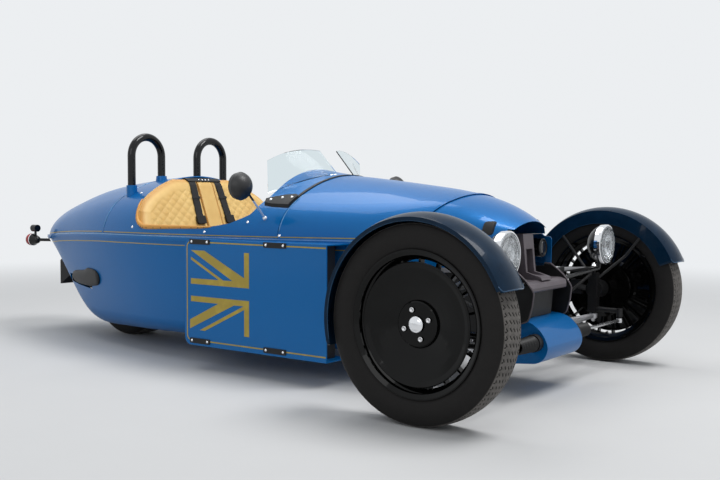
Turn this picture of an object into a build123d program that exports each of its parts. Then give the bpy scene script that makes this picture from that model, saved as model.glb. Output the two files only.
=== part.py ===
from build123d import *
from math import atan2, cos, hypot, pi, radians, sin, tan
import os

# Modern open two-seat three-wheeler: two steered wheels in front, one wheel at the back.
# Millimetres, +X forward, +Y to the car's left, +Z up, ground at Z = 0.
# Every place below is measured from the front axle's centre line, and save() shifts each piece
# so that the row's origin is on the ground at the middle of the car.

# Driving dimensions: wheels and track
WHEELBASE = 2510.0
TRACK = 1670.0
TYRE_R = 362.0
TYRE_W = 134.0
RIM_FLANGE_R = 265.0
BEAD_R = 252.0
RIM_W = 101.0
RIM_WALL = 7.0
SPOKE_COUNT = 19
SPOKE_W = 9.0
SPINDLE_R = 17.0
HUB_FACE = 22.0
DISC_FACE = -60.0
DISC_T = 10.0
COVER_R = 222.0
HUB_PAD_R = 82.0
HUB_BOLT_PCD = 108.0
HUB_BOLT_COUNT = 4
BRAKE_DISC_R = 140.0
REAR_TYRE_R = 303.0
REAR_TYRE_W = 195.0
REAR_FLANGE_R = 205.0
REAR_BEAD_R = 192.0
REAR_RIM_W = 172.0
REAR_AXLE_R = 15.0
TYRE_FOOT = 0.56

# Steering: kingpins, rack and tie rods
KINGPIN_Y = 680.0
KINGPIN_R = 9.0
PIN_PLAY = 0.05
UPPER_BALL_Z = 462.0
LOWER_BALL_Z = 236.0
STEER_ARM = 140.0
STEER_EYE_INSET = 25.0
RACK_X = 112.0
RACK_Z = 220.0
RACK_R = 9.0
GAITER_R = 36.0
RACK_HALF = 330.0
TIE_R = 8.0
TIE_EYE_TOP = 16.0
TIE_EYE_PLAY = 6.0

# Suspension and the front frame
COVER_HALF = 178.0
COVER_TOP_Z = 461.0
COVER_FOOT_Z = 419.0
BIB_HALF = 169.0
BIB_TOP_Z = 316.0
CRASH_HALF = 105.0
PLATE_T = 6.0
UPPER_PIVOT_Y = 245.0
UPPER_PIVOT_Z = 486.0
UPPER_PIVOT_XS = (-120.0, 16.0)
LOWER_PIVOT_Y = 230.0
LOWER_PIVOT_Z = 205.0
LOWER_PIVOT_XS = (-150.0, -10.0)
PIVOT_HALF = 16.0

# Mudguards
GUARD_R = 396.0
GUARD_W = 171.0
GUARD_EDGE_R = 366.0
GUARD_INNER_R = 318.0
GUARD_CORNER_R = 22.0
GUARD_T = 5.0
GUARD_FRONT_DEG = 21.0
GUARD_REAR_DEG = 196.0

# Hull
SKIN = 6.0
SEAM = 3.0
SEAT_GAP = 0.3
LID_GAP = 0.6
MOULDING_OUT = 10.0
MOULDING_HALF = 12.0
NOSE_LIP_X = 34.0
NOSE_LIP_Z = 690.0
NOSE_FOOT_X = -19.0
NOSE_FOOT_Z = 640.0
CHEEK_X = 5.0
CHEEK_Z = 515.0
FIREWALL_X = -600.0
CABIN_OUTLINE = ((-1140.0, 1200.0), (-1140.0, 800.0), (-1180.0, 722.0), (-1280.0, 680.0), (-1450.0, 652.0),
                 (-1912.0, 640.0), (-2100.0, 1200.0))
CABIN_CORNER_R = 45.0
REAR_WALL_X = -2050.0
TAIL_X = -3145.0
TAIL_BELT_Z = 550.0

# Seams across the deck: x at Z = 1000 and x at Z = 500. The one behind the bonnet is an arc in plan.
FRONT_END = (900.0, 900.0)
NOSE_SEAM = (-108.0, -485.0)
BOOT_SEAM = (-2172.0, -2262.0)
REAR_END = (TAIL_X - 400.0, TAIL_X - 400.0)
BONNET_SEAM_X = -943.0
BONNET_SEAM_R = 1800.0
BONNET_LIP = 5.0
LIP_W = 14.0

# Scuttle between the bonnet and the cockpit: (x, height of the arch's feet, height of its crown)
SCUTTLE_ARCHES = ((-925.0, 715.0, 903.0), (-1165.0, 742.0, 940.0))
SCUTTLE_HALF = 430.0
STRIP_W = 14.0
STRIP_HALF = 410.0

# Side blades
BLADE_Y = 585.0
BLADE_FRONT_X = -637.0
BLADE_REAR_X = -1488.0
BLADE_TOP_Z = 606.0
BLADE_BOTTOM_Z = 111.0
BLADE_T = 5.0
BLADE_MOUNT_XS = (-1386.0, -923.0)
BLADE_MOUNT_ZS = (594.0, 133.0)

# Lamps, hoops and fittings
HEADLAMP_X = 151.0
HEADLAMP_Y = 472.0
HEADLAMP_Z = 592.0
HEADLAMP_R = 91.0
HOOP_X = -2157.0
HOOP_Y = 235.0
HOOP_HALF = 103.0
HOOP_TOP_Z = 1116.0
HOOP_R = 21.0
HOOP_BORE_R = HOOP_R + SEAT_GAP
REAR_LAMP_X = -3211.0
REAR_LAMP_Y = 244.0
REAR_LAMP_Z = 534.0
REAR_LAMP_R = 34.0
LENS_DEPTH = 10.0
TAIL_INDICATOR = (-3155.0, 603.0)
NOSE_LAMP_X = -20.0
NOSE_LAMP_Y = 156.0
NOSE_LAMP_Z = 586.0
NOSE_LAMP_R = 40.0
INDICATOR = (-77.0, 680.0)
MIRROR_X = -1106.0
MIRROR_Y = 605.0
MIRROR_Z = 850.0
MIRROR_R = 63.0
MIRROR_FOOT = (-1094.0, 461.0, 706.0)
SCREEN_T = 5.0
EXHAUST_X = -2668.0
EXHAUST_Y = -194.0
EXHAUST_Z = 331.0
PIPE_R = 18.0
PLATE_X = -3043.0
HINGE_X = TAIL_X - 6.0
HINGE_Y = 60.0
HINGE_Z = TAIL_BELT_Z + MOULDING_HALF + 8.0
HINGE_LUG = 8.0
HINGE_PIN_R = 4.0

# Cockpit: a seat's face stands at SEAT_X where Z = SEAT_Z and leans back by SEAT_LEAN for each mm up
SEAT_X = -1884.0
SEAT_Z = 657.0
SEAT_LEAN = 0.38
SEAT_FOOT_Z = 290.0
PAD_INSET = 14.0
PAD_RISE = 6.0
TUNNEL_HALF = 58.0
TUNNEL_TOP_Z = 330.0
BELT_W = 50.0
BELT_Y = 107.0
BELT_SPLAY_DEG = 4.0
ROLL_R = 13.0
COLUMN_TILT_DEG = 24.0
HELM_X = -1420.0
HELM_Y = 235.0
HELM_Z = 730.0
HELM_R = 165.0

FRONT_REACH = GUARD_R * cos(radians(GUARD_FRONT_DEG))
FRONT_AXLE_X = (-REAR_LAMP_X - FRONT_REACH) / 2
SIDES = (("right", -1.0), ("left", 1.0))

# Hull sections from nose to tail. Columns: x, half width at the belt, belt height, ridge height,
# radius of the arch's shoulders, half width at the floor corner, floor height, floor corner radius.
COLUMNS = ("x", "half", "belt", "ridge", "shoulder", "corner", "floor", "bilge")
SECTIONS = [dict(zip(COLUMNS, row)) for row in (
    (45.0, 186.0, 638.0, 682.0, 30.0, 172.0, 128.0, 40.0),
    (-110.0, 252.0, 629.0, 772.0, 112.0, 232.0, 128.0, 45.0),
    (-250.0, 318.0, 620.0, 818.0, 172.0, 290.0, 128.0, 50.0),
    (-500.0, 398.0, 608.0, 858.0, 198.0, 350.0, 128.0, 60.0),
    (-1030.0, 478.0, 602.0, 912.0, 225.0, 420.0, 126.0, 70.0),
    (-1500.0, 526.0, 600.0, 928.0, 240.0, 460.0, 124.0, 80.0),
    (-1950.0, 508.0, 597.0, 914.0, 242.0, 440.0, 114.0, 90.0),
    (-2300.0, 446.0, 593.0, 886.0, 230.0, 370.0, 100.0, 95.0),
    (-2600.0, 364.0, 583.0, 846.0, 205.0, 290.0, 125.0, 95.0),
    (-2850.0, 286.0, 570.0, 783.0, 165.0, 222.0, 300.0, 80.0),
    (-3040.0, 218.0, 556.0, 722.0, 118.0, 172.0, 465.0, 45.0),
    (TAIL_X, 150.0, TAIL_BELT_Z, 672.0, 82.0, 122.0, 515.0, 18.0),
)]
# The nose cowl is drawn in to a narrower mouth than the tub.
NOSE_SECTIONS = [dict(SECTIONS[0], half=100.0)] + SECTIONS[1:]


def save(name, *pieces):
    """Writes one node: its solids, moved from the axle's frame to the car's."""
    solids = [s for piece in pieces for s in piece.solids()]
    placed = [s.moved(Location((FRONT_AXLE_X, 0, 0))) for s in solids]
    export_step(Compound(placed) if len(placed) > 1 else placed[0], f"parts/{name}.step")


def both_sides(make):
    """The piece that make(side) draws, for the right side and for the left."""
    return [make(side) for _, side in SIDES]


def rod(start, end, radius):
    """A round bar from one point to another."""
    a, b = Vector(*start), Vector(*end)
    run = b - a
    place = Plane(origin=a, z_dir=run)
    return place * Cylinder(radius, run.length, align=(Align.CENTER, Align.CENTER, Align.MIN))


def tube(points, radii, radius, bore=0.0):
    """A bent tube along straight runs and arcs."""
    path = FilletPolyline(*points, radius=radii) if len(points) > 2 else Line(*points)
    ring = Circle(radius) - Circle(bore) if bore else Circle(radius)
    return sweep(Plane(origin=path @ 0, z_dir=path % 0) * ring, path)


def block(x_span, y_span, z_span):
    """A box between two values on each axis."""
    lows, highs = zip(*[sorted(span) for span in (x_span, y_span, z_span)])
    size = [h - l for l, h in zip(lows, highs)]
    centre = [(h + l) / 2 for l, h in zip(lows, highs)]
    return Pos(*centre) * Box(*size)


def side_cut(points, y_span=(-900.0, 900.0)):
    """A solid with the given outline in side view, right across the car."""
    low, high = sorted(y_span)
    face = make_face(Polyline(*[(x, z) for x, z in points], close=True))
    plane = Plane(origin=(0, low, 0), x_dir=(1, 0, 0), z_dir=(0, -1, 0))
    return extrude(plane * face, -(high - low))


def plan_cut(points, z_span=(-100.0, 1300.0)):
    """A solid with the given outline in plan."""
    low, high = sorted(z_span)
    face = make_face(Polyline(*points, close=True))
    return extrude(Plane(origin=(0, 0, low)) * face, high - low)


def turned(points, centre):
    """A solid of revolution about an axle along Y. Points are (distance along Y, radius)."""
    face = make_face(Polyline(*[(along, radius) for along, radius in points], close=True))
    plane = Plane(origin=centre, x_dir=(0, 1, 0), z_dir=(1, 0, 0))
    return revolve(plane * face, Axis(centre, (0, 1, 0)))


def dome(foot, radius, rise):
    """An arc, in side view, from a round edge to the axle: part of a ball, so that it spins cleanly."""
    ball = (radius ** 2 + rise ** 2) / (2 * abs(rise))
    way = 1.0 if rise > 0 else -1.0
    centre = foot + rise - way * ball
    half = atan2(radius, way * (foot - centre)) / 2
    return ThreePointArc((foot, radius), (centre + way * ball * cos(half), ball * sin(half)), (foot + rise, 0))


def hull_wire(row, out=0.0, x=None):
    """One closed section of the hull, moved out by a distance: arch, sides, corners and floor."""
    x = row["x"] if x is None else x
    belt, floor = row["belt"], row["floor"] - out
    half, rise, shoulder = row["half"] + out, row["ridge"] - row["belt"] + out, row["shoulder"] + out
    crown = (half ** 2 + rise ** 2 - 2 * half * shoulder) / (2 * (rise - shoulder))
    crown_z = belt + rise - crown
    reach = hypot(half - shoulder, belt - crown_z)
    meet = (crown * (half - shoulder) / reach, crown_z + crown * (belt - crown_z) / reach)
    lift = atan2(meet[1] - belt, meet[0] - half + shoulder) / 2
    bulge = (half - shoulder + shoulder * cos(lift), belt + shoulder * sin(lift))
    corner, bilge = row["corner"] + out, row["bilge"] + out
    side = Vector(corner - half, floor - belt).normalized()
    trim = bilge * tan(atan2(-side.Y, -side.X) / 2)
    side_end = (corner - side.X * trim, floor - side.Y * trim)
    floor_end = (corner - trim, floor)
    centre = (corner - trim, floor + bilge)
    away = hypot(corner - centre[0], floor - centre[1])
    middle = (centre[0] + (corner - centre[0]) * bilge / away, centre[1] + (floor - centre[1]) * bilge / away)

    def at(point, sign):
        return (x, sign * point[0], point[1])

    edges = [Line(at(floor_end, -1), at(floor_end, 1))]
    edges.append(ThreePointArc(at(floor_end, 1), at(middle, 1), at(side_end, 1)))
    edges.append(Line(at(side_end, 1), at((half, belt), 1)))
    edges.append(ThreePointArc(at((half, belt), 1), at(bulge, 1), at(meet, 1)))
    edges.append(ThreePointArc(at(meet, 1), (x, 0, belt + rise), at(meet, -1)))
    edges.append(ThreePointArc(at(meet, -1), at(bulge, -1), at((half, belt), -1)))
    edges.append(Line(at((half, belt), -1), at(side_end, -1)))
    edges.append(ThreePointArc(at(side_end, -1), at(middle, -1), at(floor_end, -1)))
    return Wire(edges)


def hull(out=0.0, front_out=0.0, rear_out=0.0, rows=SECTIONS):
    """The hull as one solid, moved out by a distance all round and by its own at each end."""
    ends = {0: front_out, len(rows) - 1: -rear_out}
    wires = [hull_wire(row, out, row["x"] + ends.get(i, 0.0)) for i, row in enumerate(rows)]
    return Solid.make_loft(wires, False)


def belt_line(offset):
    """The belt line in side view, moved up by a distance, from front to rear."""
    points = [(row["x"], row["belt"] + offset) for row in SECTIONS]
    return [(400.0, points[0][1])] + points + [(TAIL_X - 300.0, points[-1][1])]


def above_belt(offset=0.0):
    """All space over the belt line."""
    return side_cut(belt_line(offset) + [(TAIL_X - 300.0, 1600.0), (400.0, 1600.0)])


def below_belt(offset=0.0):
    """All space under the belt line."""
    return side_cut(belt_line(offset) + [(TAIL_X - 300.0, -200.0), (400.0, -200.0)])


def between(front, rear):
    """All space between two slanted seams, each a (top x, belt x) pair."""
    return side_cut([(front[0], 1000.0), (front[1], 500.0), (rear[1], 500.0), (rear[0], 1000.0)])


def seam_after(seam):
    """The same seam moved back by the panel gap."""
    return (seam[0] - SEAM, seam[1] - SEAM)


def seam_drum(inset):
    """All space behind the bonnet's curved seam, moved back by a distance."""
    return Pos(BONNET_SEAM_X - BONNET_SEAM_R, 0, 0) * Cylinder(BONNET_SEAM_R - inset, 2600.0)


def scuttle(out=0.0):
    """The arch that rises from the bonnet's seam to the cockpit: a ruled loft of two round sections."""
    wires = []
    for x, foot_z, crown_z in SCUTTLE_ARCHES:
        left, right = (x, SCUTTLE_HALF, foot_z + out), (x, -SCUTTLE_HALF, foot_z + out)
        low_left, low_right = (x, SCUTTLE_HALF, 600.0), (x, -SCUTTLE_HALF, 600.0)
        wires.append(Wire([ThreePointArc(left, (x, 0, crown_z + out), right), Line(right, low_right),
                           Line(low_right, low_left), Line(low_left, left)]))
    return Solid.make_loft(wires, True) & seam_drum(SEAM + STRIP_W + SEAT_GAP - out)


def scuttle_strip():
    """The black strip at the scuttle's foot, with a flat mount at each end."""
    thin = hull(BONNET_LIP - 1.0) - hull(SEAT_GAP)
    strip = thin & (seam_drum(SEAM + SEAT_GAP) - seam_drum(SEAM + STRIP_W))
    strip &= block((-1200.0, -900.0), (-STRIP_HALF, STRIP_HALF), (600.0, 1000.0))
    thick = (hull(12.0) - hull(SEAT_GAP)) & seam_drum(SEAM + SEAT_GAP)
    for _, side in SIDES:
        outline = ((-1138.0, 404.0), (-1130.0, 424.0), (-1084.0, 424.0), (-960.0, 412.0), (-960.0, 366.0),
                   (-1001.0, 354.0), (-1049.0, 366.0), (-1122.0, 396.0))
        strip += thick & plan_cut([(x, side * y) for x, y in outline], (600.0, 1000.0))
    return (strip - scuttle(SEAT_GAP)).solids().sort_by(lambda solid: solid.volume)[-1]


def deck_panels(skin, inner):
    """Nose cowl, bonnet, cockpit surround and boot lid, cut from the hull's upper skin."""
    upper = above_belt(MOULDING_HALF + LID_GAP)
    deck = skin & upper
    mouth = side_cut([(NOSE_LIP_X, NOSE_LIP_Z), (NOSE_FOOT_X, NOSE_FOOT_Z), (NOSE_FOOT_X, 500.0),
                      (400.0, 500.0), (400.0, 900.0), (NOSE_LIP_X + 20.0, 900.0)])
    cowl = hull(rows=NOSE_SECTIONS) - hull(-SKIN, front_out=20.0, rear_out=-SKIN, rows=NOSE_SECTIONS)
    nose = (cowl & upper & between(FRONT_END, NOSE_SEAM)) - mouth
    lip_end = (NOSE_SEAM[0] - SEAM - LIP_W, NOSE_SEAM[1] - SEAM - LIP_W)
    lip = (hull(BONNET_LIP) - inner) & upper & between(seam_after(NOSE_SEAM), lip_end)
    bonnet = (deck & between(seam_after(NOSE_SEAM), REAR_END)) - seam_drum(0.0) + lip
    surround = deck & seam_drum(SEAM) & between(FRONT_END, BOOT_SEAM)
    surround += scuttle() - inner
    lid = deck & between(seam_after(BOOT_SEAM), REAR_END)
    return nose, bonnet, surround - cabin_opening(), lid


def cabin_opening(inset=0.0):
    """The cockpit's opening in side view, with round lower corners, drawn in by a distance."""
    outline = make_face(Polyline(*CABIN_OUTLINE, close=True))
    face = fillet(outline.vertices().filter_by(lambda v: v.Y < 1000.0), CABIN_CORNER_R)
    if inset:
        face = offset(face, -inset)
    plane = Plane(origin=(0, -900.0, 0), x_dir=(1, 0, 0), z_dir=(0, -1, 0))
    return extrude(plane * face, -1800.0)


def tub(skin):
    """The lower hull: cheeks beside the engine, floor, and the slot for the rear wheel."""
    body = skin & below_belt(MOULDING_HALF)
    arch = side_cut([(FIREWALL_X, -100.0), (FIREWALL_X, 300.0), (FIREWALL_X + 190.0, 470.0),
                     (FIREWALL_X + 290.0, CHEEK_Z), (400.0, CHEEK_Z), (400.0, -100.0)])
    front = side_cut([(CHEEK_X, -100.0), (CHEEK_X, 900.0), (400.0, 900.0), (400.0, -100.0)])
    cheek_top = side_cut([(-60.0, 700.0), (-60.0, 650.0), (-40.0, 636.0), (-8.0, 634.0), (2.0, 629.0),
                          (6.0, 618.0), (60.0, 618.0), (60.0, 700.0)])
    outlet = make_face(Polyline((-2814.0, 310.0), (-2814.0, 352.0), (-2668.0, 354.0), (-2640.0, 376.0),
                                (-2474.0, 372.0), (-2474.0, 288.0), (-2640.0, 296.0), close=True))
    outlet = fillet(outlet.vertices(), 8.0)
    outlet = extrude(Plane(origin=(0, -600.0, 0), x_dir=(1, 0, 0), z_dir=(0, -1, 0)) * outlet, -450.0)
    slot = block((-WHEELBASE - REAR_TYRE_R - 30.0, -WHEELBASE + REAR_TYRE_R + 30.0),
                 (-REAR_TYRE_W / 2 - 25.0, REAR_TYRE_W / 2 + 25.0), (-50.0, 450.0))
    return body - arch - front - cheek_top - slot - outlet


def wall_across(inner, x, top_z=2000.0):
    """A bulkhead that fits inside the hull."""
    return inner & block((x - SKIN, x), (-900.0, 900.0), (-50.0, top_z))


def moulding():
    """The half-round belt moulding that covers the seam between deck and tub, round the tail."""
    band = hull(MOULDING_OUT, rear_out=MOULDING_OUT) - hull(SEAT_GAP, rear_out=SEAT_GAP)
    strip = side_cut(belt_line(MOULDING_HALF) + list(reversed(belt_line(-MOULDING_HALF))))
    return (band & strip) - block((-380.0, 500.0), (-900.0, 900.0), (0.0, 1200.0))


def blade(side, keep_out):
    """A side blade: an outer plate with top, bottom and rear returns that meet the tub."""
    def shell(inset, reach):
        face = make_face(Polyline((BLADE_FRONT_X + reach, BLADE_BOTTOM_Z + inset),
                                  (BLADE_FRONT_X + reach, BLADE_TOP_Z - inset),
                                  (BLADE_REAR_X + inset, BLADE_TOP_Z - inset),
                                  (BLADE_REAR_X + inset, BLADE_BOTTOM_Z + inset), close=True))
        corners = face.vertices().filter_by(lambda v: v.X < BLADE_REAR_X + 100.0)
        face = fillet(corners, 40.0 - inset)
        plane = Plane(origin=(0, 0, 0), x_dir=(1, 0, 0), z_dir=(0, -1, 0))
        near = 430.0
        far = BLADE_Y - inset
        return extrude(plane * face, -far * side) - block((-2000, 0), (-near, near), (0, 900))
    body = shell(0.0, 0.0) - shell(BLADE_T, 100.0)
    return (body - keep_out).solids().sort_by(lambda solid: solid.volume)[-1]


def blade_mounts(side):
    """The four small plates that hold one blade, two at its top edge and two at its foot."""
    plates = []
    for x in BLADE_MOUNT_XS:
        for z in BLADE_MOUNT_ZS:
            plane = Plane(origin=(x, side * (BLADE_Y + SEAT_GAP), z), x_dir=(1, 0, 0), z_dir=(0, side, 0))
            plates.append(extrude(plane * RectangleRounded(130.0, 24.0, 5.0), 4.0))
    return Compound(plates)


def radiator(side):
    """A cooler standing in the mouth of the side blade."""
    x = BLADE_FRONT_X - 45.0
    inner = 470.0
    outer = BLADE_Y - BLADE_T - SEAT_GAP
    return block((x - 30.0, x), (side * inner, side * outer),
                 (BLADE_BOTTOM_Z + BLADE_T + SEAT_GAP, BLADE_TOP_Z - BLADE_T - SEAT_GAP))


def tyre(centre_y, width, radius, bead, x=0.0):
    """A tyre with a slightly crowned tread, round shoulders and full sidewalls."""
    half = width / 2
    foot, crown, drop = half * TYRE_FOOT, half * 0.86, 6.0
    outline = [Line((-foot, bead), (foot, bead)),
               ThreePointArc((foot, bead), (half, bead + (radius - bead) * 0.50), (crown, radius - drop)),
               ThreePointArc((crown, radius - drop), (0, radius), (-crown, radius - drop)),
               ThreePointArc((-crown, radius - drop), (-half, bead + (radius - bead) * 0.50), (-foot, bead))]
    plane = Plane(origin=(x, centre_y, radius), x_dir=(0, 1, 0), z_dir=(1, 0, 0))
    return revolve(plane * make_face(outline), Axis((x, centre_y, radius), (0, 1, 0)))


def barrel(centre, side, width, bead, flange, wall, tyre_width):
    """A rim: two flanges, the seats that carry the tyre's feet, and the well between them."""
    half, seat, foot = width / 2, bead - SEAT_GAP, tyre_width / 2 * TYRE_FOOT
    ledge, well = foot - 12.0, seat - 16.0
    points = [(half + 6.0, flange), (half, flange), (half - 4.0, seat), (ledge, seat), (ledge - 9.0, well),
              (9.0 - ledge, well), (-ledge, seat), (4.0 - half, seat), (-half, flange), (-half - 6.0, flange),
              (-half - 6.0, flange - 5.0), (2.0 - half, seat - wall), (-ledge - 4.0, seat - wall),
              (5.0 - ledge, well - wall), (ledge - 5.0, well - wall), (ledge + 4.0, seat - wall),
              (half - 2.0, seat - wall), (half + 6.0, flange - 5.0)]
    return turned([(side * a, r) for a, r in points], centre)


def front_rim(side):
    """Front rim with a ring of thin spokes and a hub that runs on the spindle."""
    y = side * TRACK / 2
    centre = (0, y, TYRE_R)
    rim = barrel(centre, side, RIM_W, BEAD_R, RIM_FLANGE_R, RIM_WALL, TYRE_W)
    spoke = block((-SPOKE_W / 2, SPOKE_W / 2), (y - side * 4.0, y + side * HUB_FACE),
                  (TYRE_R + 95.0, TYRE_R + BEAD_R - SEAT_GAP - 18.0))
    for i in range(SPOKE_COUNT):
        rim += spoke.rotate(Axis(centre, (0, 1, 0)), i * 360.0 / SPOKE_COUNT)
    bore = SPINDLE_R + PIN_PLAY
    web = turned([(side * a, r) for a, r in ((-6.0, 60.0), (-6.0, 112.0), (HUB_FACE, 112.0), (HUB_FACE, 60.0))], centre)
    hub = turned([(side * a, r) for a, r in ((-66.0, bore), (-66.0, 34.0), (-44.0, 34.0), (-44.0, 66.0),
                                             (HUB_FACE, 66.0), (HUB_FACE, bore))], centre)
    disc = turned([(side * a, r) for a, r in ((DISC_FACE, 34.0), (DISC_FACE, BRAKE_DISC_R),
                                              (DISC_FACE + DISC_T, BRAKE_DISC_R), (DISC_FACE + DISC_T, 34.0))], centre)
    return rim + web + hub + disc


def wheel_cover(side):
    """The dished disc over the wheel, with the hub pad, wheel bolts and a plain cap."""
    centre = (0, side * TRACK / 2, TYRE_R)
    back = HUB_FACE + SEAT_GAP
    profile = ((back, 0.0), (back, 100.0), (29.5, 112.0), (36.0, 140.0), (40.5, 170.0), (44.0, 200.0),
               (45.0, 214.0), (46.0, COVER_R), (50.5, COVER_R + 0.5), (53.5, 219.0), (52.5, 214.0), (47.5, 200.0),
               (44.0, 170.0), (39.5, 140.0), (33.5, 110.0), (28.0, 86.0), (27.0, 84.0), (35.0, HUB_PAD_R),
               (38.0, HUB_PAD_R - 4.0), (38.0, 0.0))
    disc = turned([(side * a, r) for a, r in profile], centre)
    face_y = side * (TRACK / 2 + 38.0)
    for i in range(HUB_BOLT_COUNT):
        angle = radians(20.0 + i * 360.0 / HUB_BOLT_COUNT)
        spot = (HUB_BOLT_PCD / 2 * cos(angle), TYRE_R + HUB_BOLT_PCD / 2 * sin(angle))
        disc += rod((spot[0], face_y - side * 2.0, spot[1]), (spot[0], face_y + side * 5.0, spot[1]), 8.0)
    return disc + rod((0, face_y - side * 2.0, TYRE_R), (0, face_y + side * 6.0, TYRE_R), 29.0)


def knuckle(side):
    """The upright: spindle, kingpins, steering arm, caliper and the two mudguard stays."""
    y = side * KINGPIN_Y
    hub_y = side * (TRACK / 2 - 66.0 - 6.0)
    post = block((-22.0, 22.0), (y - 20.0, y + 20.0), (LOWER_BALL_Z + 20.0, UPPER_BALL_Z - 20.0))
    boss = rod((0, y, TYRE_R), (0, hub_y, TYRE_R), 42.0)
    spindle = rod((0, y, TYRE_R), (0, side * (TRACK / 2 + HUB_FACE - 2.0), TYRE_R), SPINDLE_R)
    pin = rod((0, y, LOWER_BALL_Z - 14.0), (0, y, UPPER_BALL_Z + 14.0), KINGPIN_R)
    eye = steer_eye(side)
    root_z = LOWER_BALL_Z + 34.0
    arm = rod((0, y, root_z), (eye[0], eye[1], root_z), 12.0)
    arm += rod((eye[0], eye[1], RACK_Z + TIE_EYE_TOP + TIE_EYE_PLAY), (eye[0], eye[1], root_z + 12.0), 15.0)
    body = post + boss + spindle + pin + arm
    rail_y = side * (TRACK / 2 - GUARD_W / 2 + 3.0)
    for deg in (52.0, 128.0):
        reach, low = GUARD_INNER_R - SEAT_GAP, GUARD_INNER_R - 110.0
        top = (reach * cos(radians(deg)), rail_y, TYRE_R + reach * sin(radians(deg)))
        bend = (low * cos(radians(deg)), rail_y, TYRE_R + low * sin(radians(deg)))
        foot = (0.0, y + side * 8.0, UPPER_BALL_Z - 60.0)
        body += tube([foot, bend, top], 30.0, 7.0)
    return body + caliper(side)


def caliper(side):
    """The brake caliper astride the disc, on a short arm from the upright."""
    middle = side * (TRACK / 2 + DISC_FACE + DISC_T / 2)
    jaws = block((-156.0, -92.0), (middle - 21.0, middle + 21.0), (TYRE_R - 35.0, TYRE_R + 35.0))
    jaws -= rod((0, middle - DISC_T / 2 - 3.0, TYRE_R), (0, middle + DISC_T / 2 + 3.0, TYRE_R), BRAKE_DISC_R + 3.0)
    arm = rod((0, side * KINGPIN_Y, TYRE_R), (-112.0, middle - side * 14.0, TYRE_R), 13.0)
    return jaws + (arm - rod((0, middle - 8.0, TYRE_R), (0, middle + 8.0, TYRE_R), BRAKE_DISC_R + 3.0))


def steer_eye(side):
    """Where the tie rod meets the steering arm."""
    return (STEER_ARM, side * (KINGPIN_Y - STEER_EYE_INSET), RACK_Z + 24.0)


def mudguard(side):
    """A cycle wing: a crowned section with turned-down edges, carried round the wheel."""
    half = GUARD_W / 2
    centre = (0, side * TRACK / 2, TYRE_R)
    drop = GUARD_R - GUARD_EDGE_R

    def low(y):
        """The edge's radius: deeper on the side towards the car."""
        return (GUARD_EDGE_R + GUARD_INNER_R) / 2 + side * y / half * (GUARD_EDGE_R - GUARD_INNER_R) / 2

    def section(t):
        wide, brow = half - t, GUARD_R - t - drop * 0.55
        return make_face([ThreePointArc((-wide, brow), (0, GUARD_R - t), (wide, brow)),
                          Line((wide, brow), (wide, low(wide))), Line((wide, low(wide)), (-wide, low(-wide))),
                          Line((-wide, low(-wide)), (-wide, brow))])
    plane = Plane(origin=centre, x_dir=(0, 1, 0), z_dir=(1, 0, 0))
    ring = plane * (section(0.0) - section(GUARD_T))
    axle = Axis(centre, (0, 1, 0))
    start = ring.rotate(axle, 90.0 - GUARD_FRONT_DEG)
    body = revolve(start, Axis(centre, (0, -1, 0)), revolution_arc=GUARD_REAR_DEG - GUARD_FRONT_DEG)
    for deg, way in ((GUARD_FRONT_DEG, -1.0), (GUARD_REAR_DEG, 1.0)):
        for edge in (-1.0, 1.0):
            r, y = GUARD_CORNER_R, centre[1] + edge * (half - GUARD_CORNER_R)
            corner = block((-way, way * r), (y, y + edge * (r + 1.0)), (TYRE_R + 250.0, TYRE_R + 420.0))
            corner -= rod((way * r, y, TYRE_R + 200.0), (way * r, y, TYRE_R + 450.0), r)
            body -= corner.rotate(axle, 90.0 - deg)
    return body


def wishbone(side, ball_z, frame_y, frame_z, xs):
    """A wishbone: two tubes from the frame to an eye on the kingpin."""
    y = side * KINGPIN_Y
    eye = Pos(0, y, ball_z) * (Cylinder(19.0, 20.0) - Cylinder(KINGPIN_R + PIN_PLAY, 40.0))
    arm = eye
    for x in xs:
        arm += rod((x * 0.04, y - side * 14.0, ball_z), (x, side * frame_y, frame_z), 10.0)
        arm += rod((x - PIVOT_HALF, side * frame_y, frame_z), (x + PIVOT_HALF, side * frame_y, frame_z), 13.0)
    return arm - Pos(0, y, ball_z) * Cylinder(KINGPIN_R + PIN_PLAY, 60.0)


def headlamp(side):
    """A headlamp bowl, open in front, on a curved post."""
    centre = (HEADLAMP_X, side * HEADLAMP_Y, HEADLAMP_Z)
    r = HEADLAMP_R
    outer = make_face([Line((-30.0, 0), (-30.0, r - 3.0)), dome(-30.0, r - 3.0, -62.0), Line((-92.0, 0), (-30.0, 0))])
    inner = make_face([Line((-29.0, 0), (-29.0, r - 7.0)), Line((-29.0, r - 7.0), (-32.0, r - 7.0)),
                       dome(-32.0, r - 7.0, -54.0), Line((-86.0, 0), (-29.0, 0))])
    plane = Plane(origin=centre, x_dir=(1, 0, 0), z_dir=(0, -1, 0))
    bowl = revolve(plane * (outer - inner), Axis(centre, (1, 0, 0)))
    wall = COVER_HALF + SEAT_GAP * 2 + PLATE_T
    post = tube([(HEADLAMP_X - 40.0, centre[1], HEADLAMP_Z - r + 6.0), (HEADLAMP_X - 40.0, centre[1], 482.0),
                 (64.0, side * (wall - 10.0), 454.0)], 14.0, 9.0)
    return bowl + (post - block((-100.0, 200.0), (-wall, wall), (300.0, 600.0)))


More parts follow.
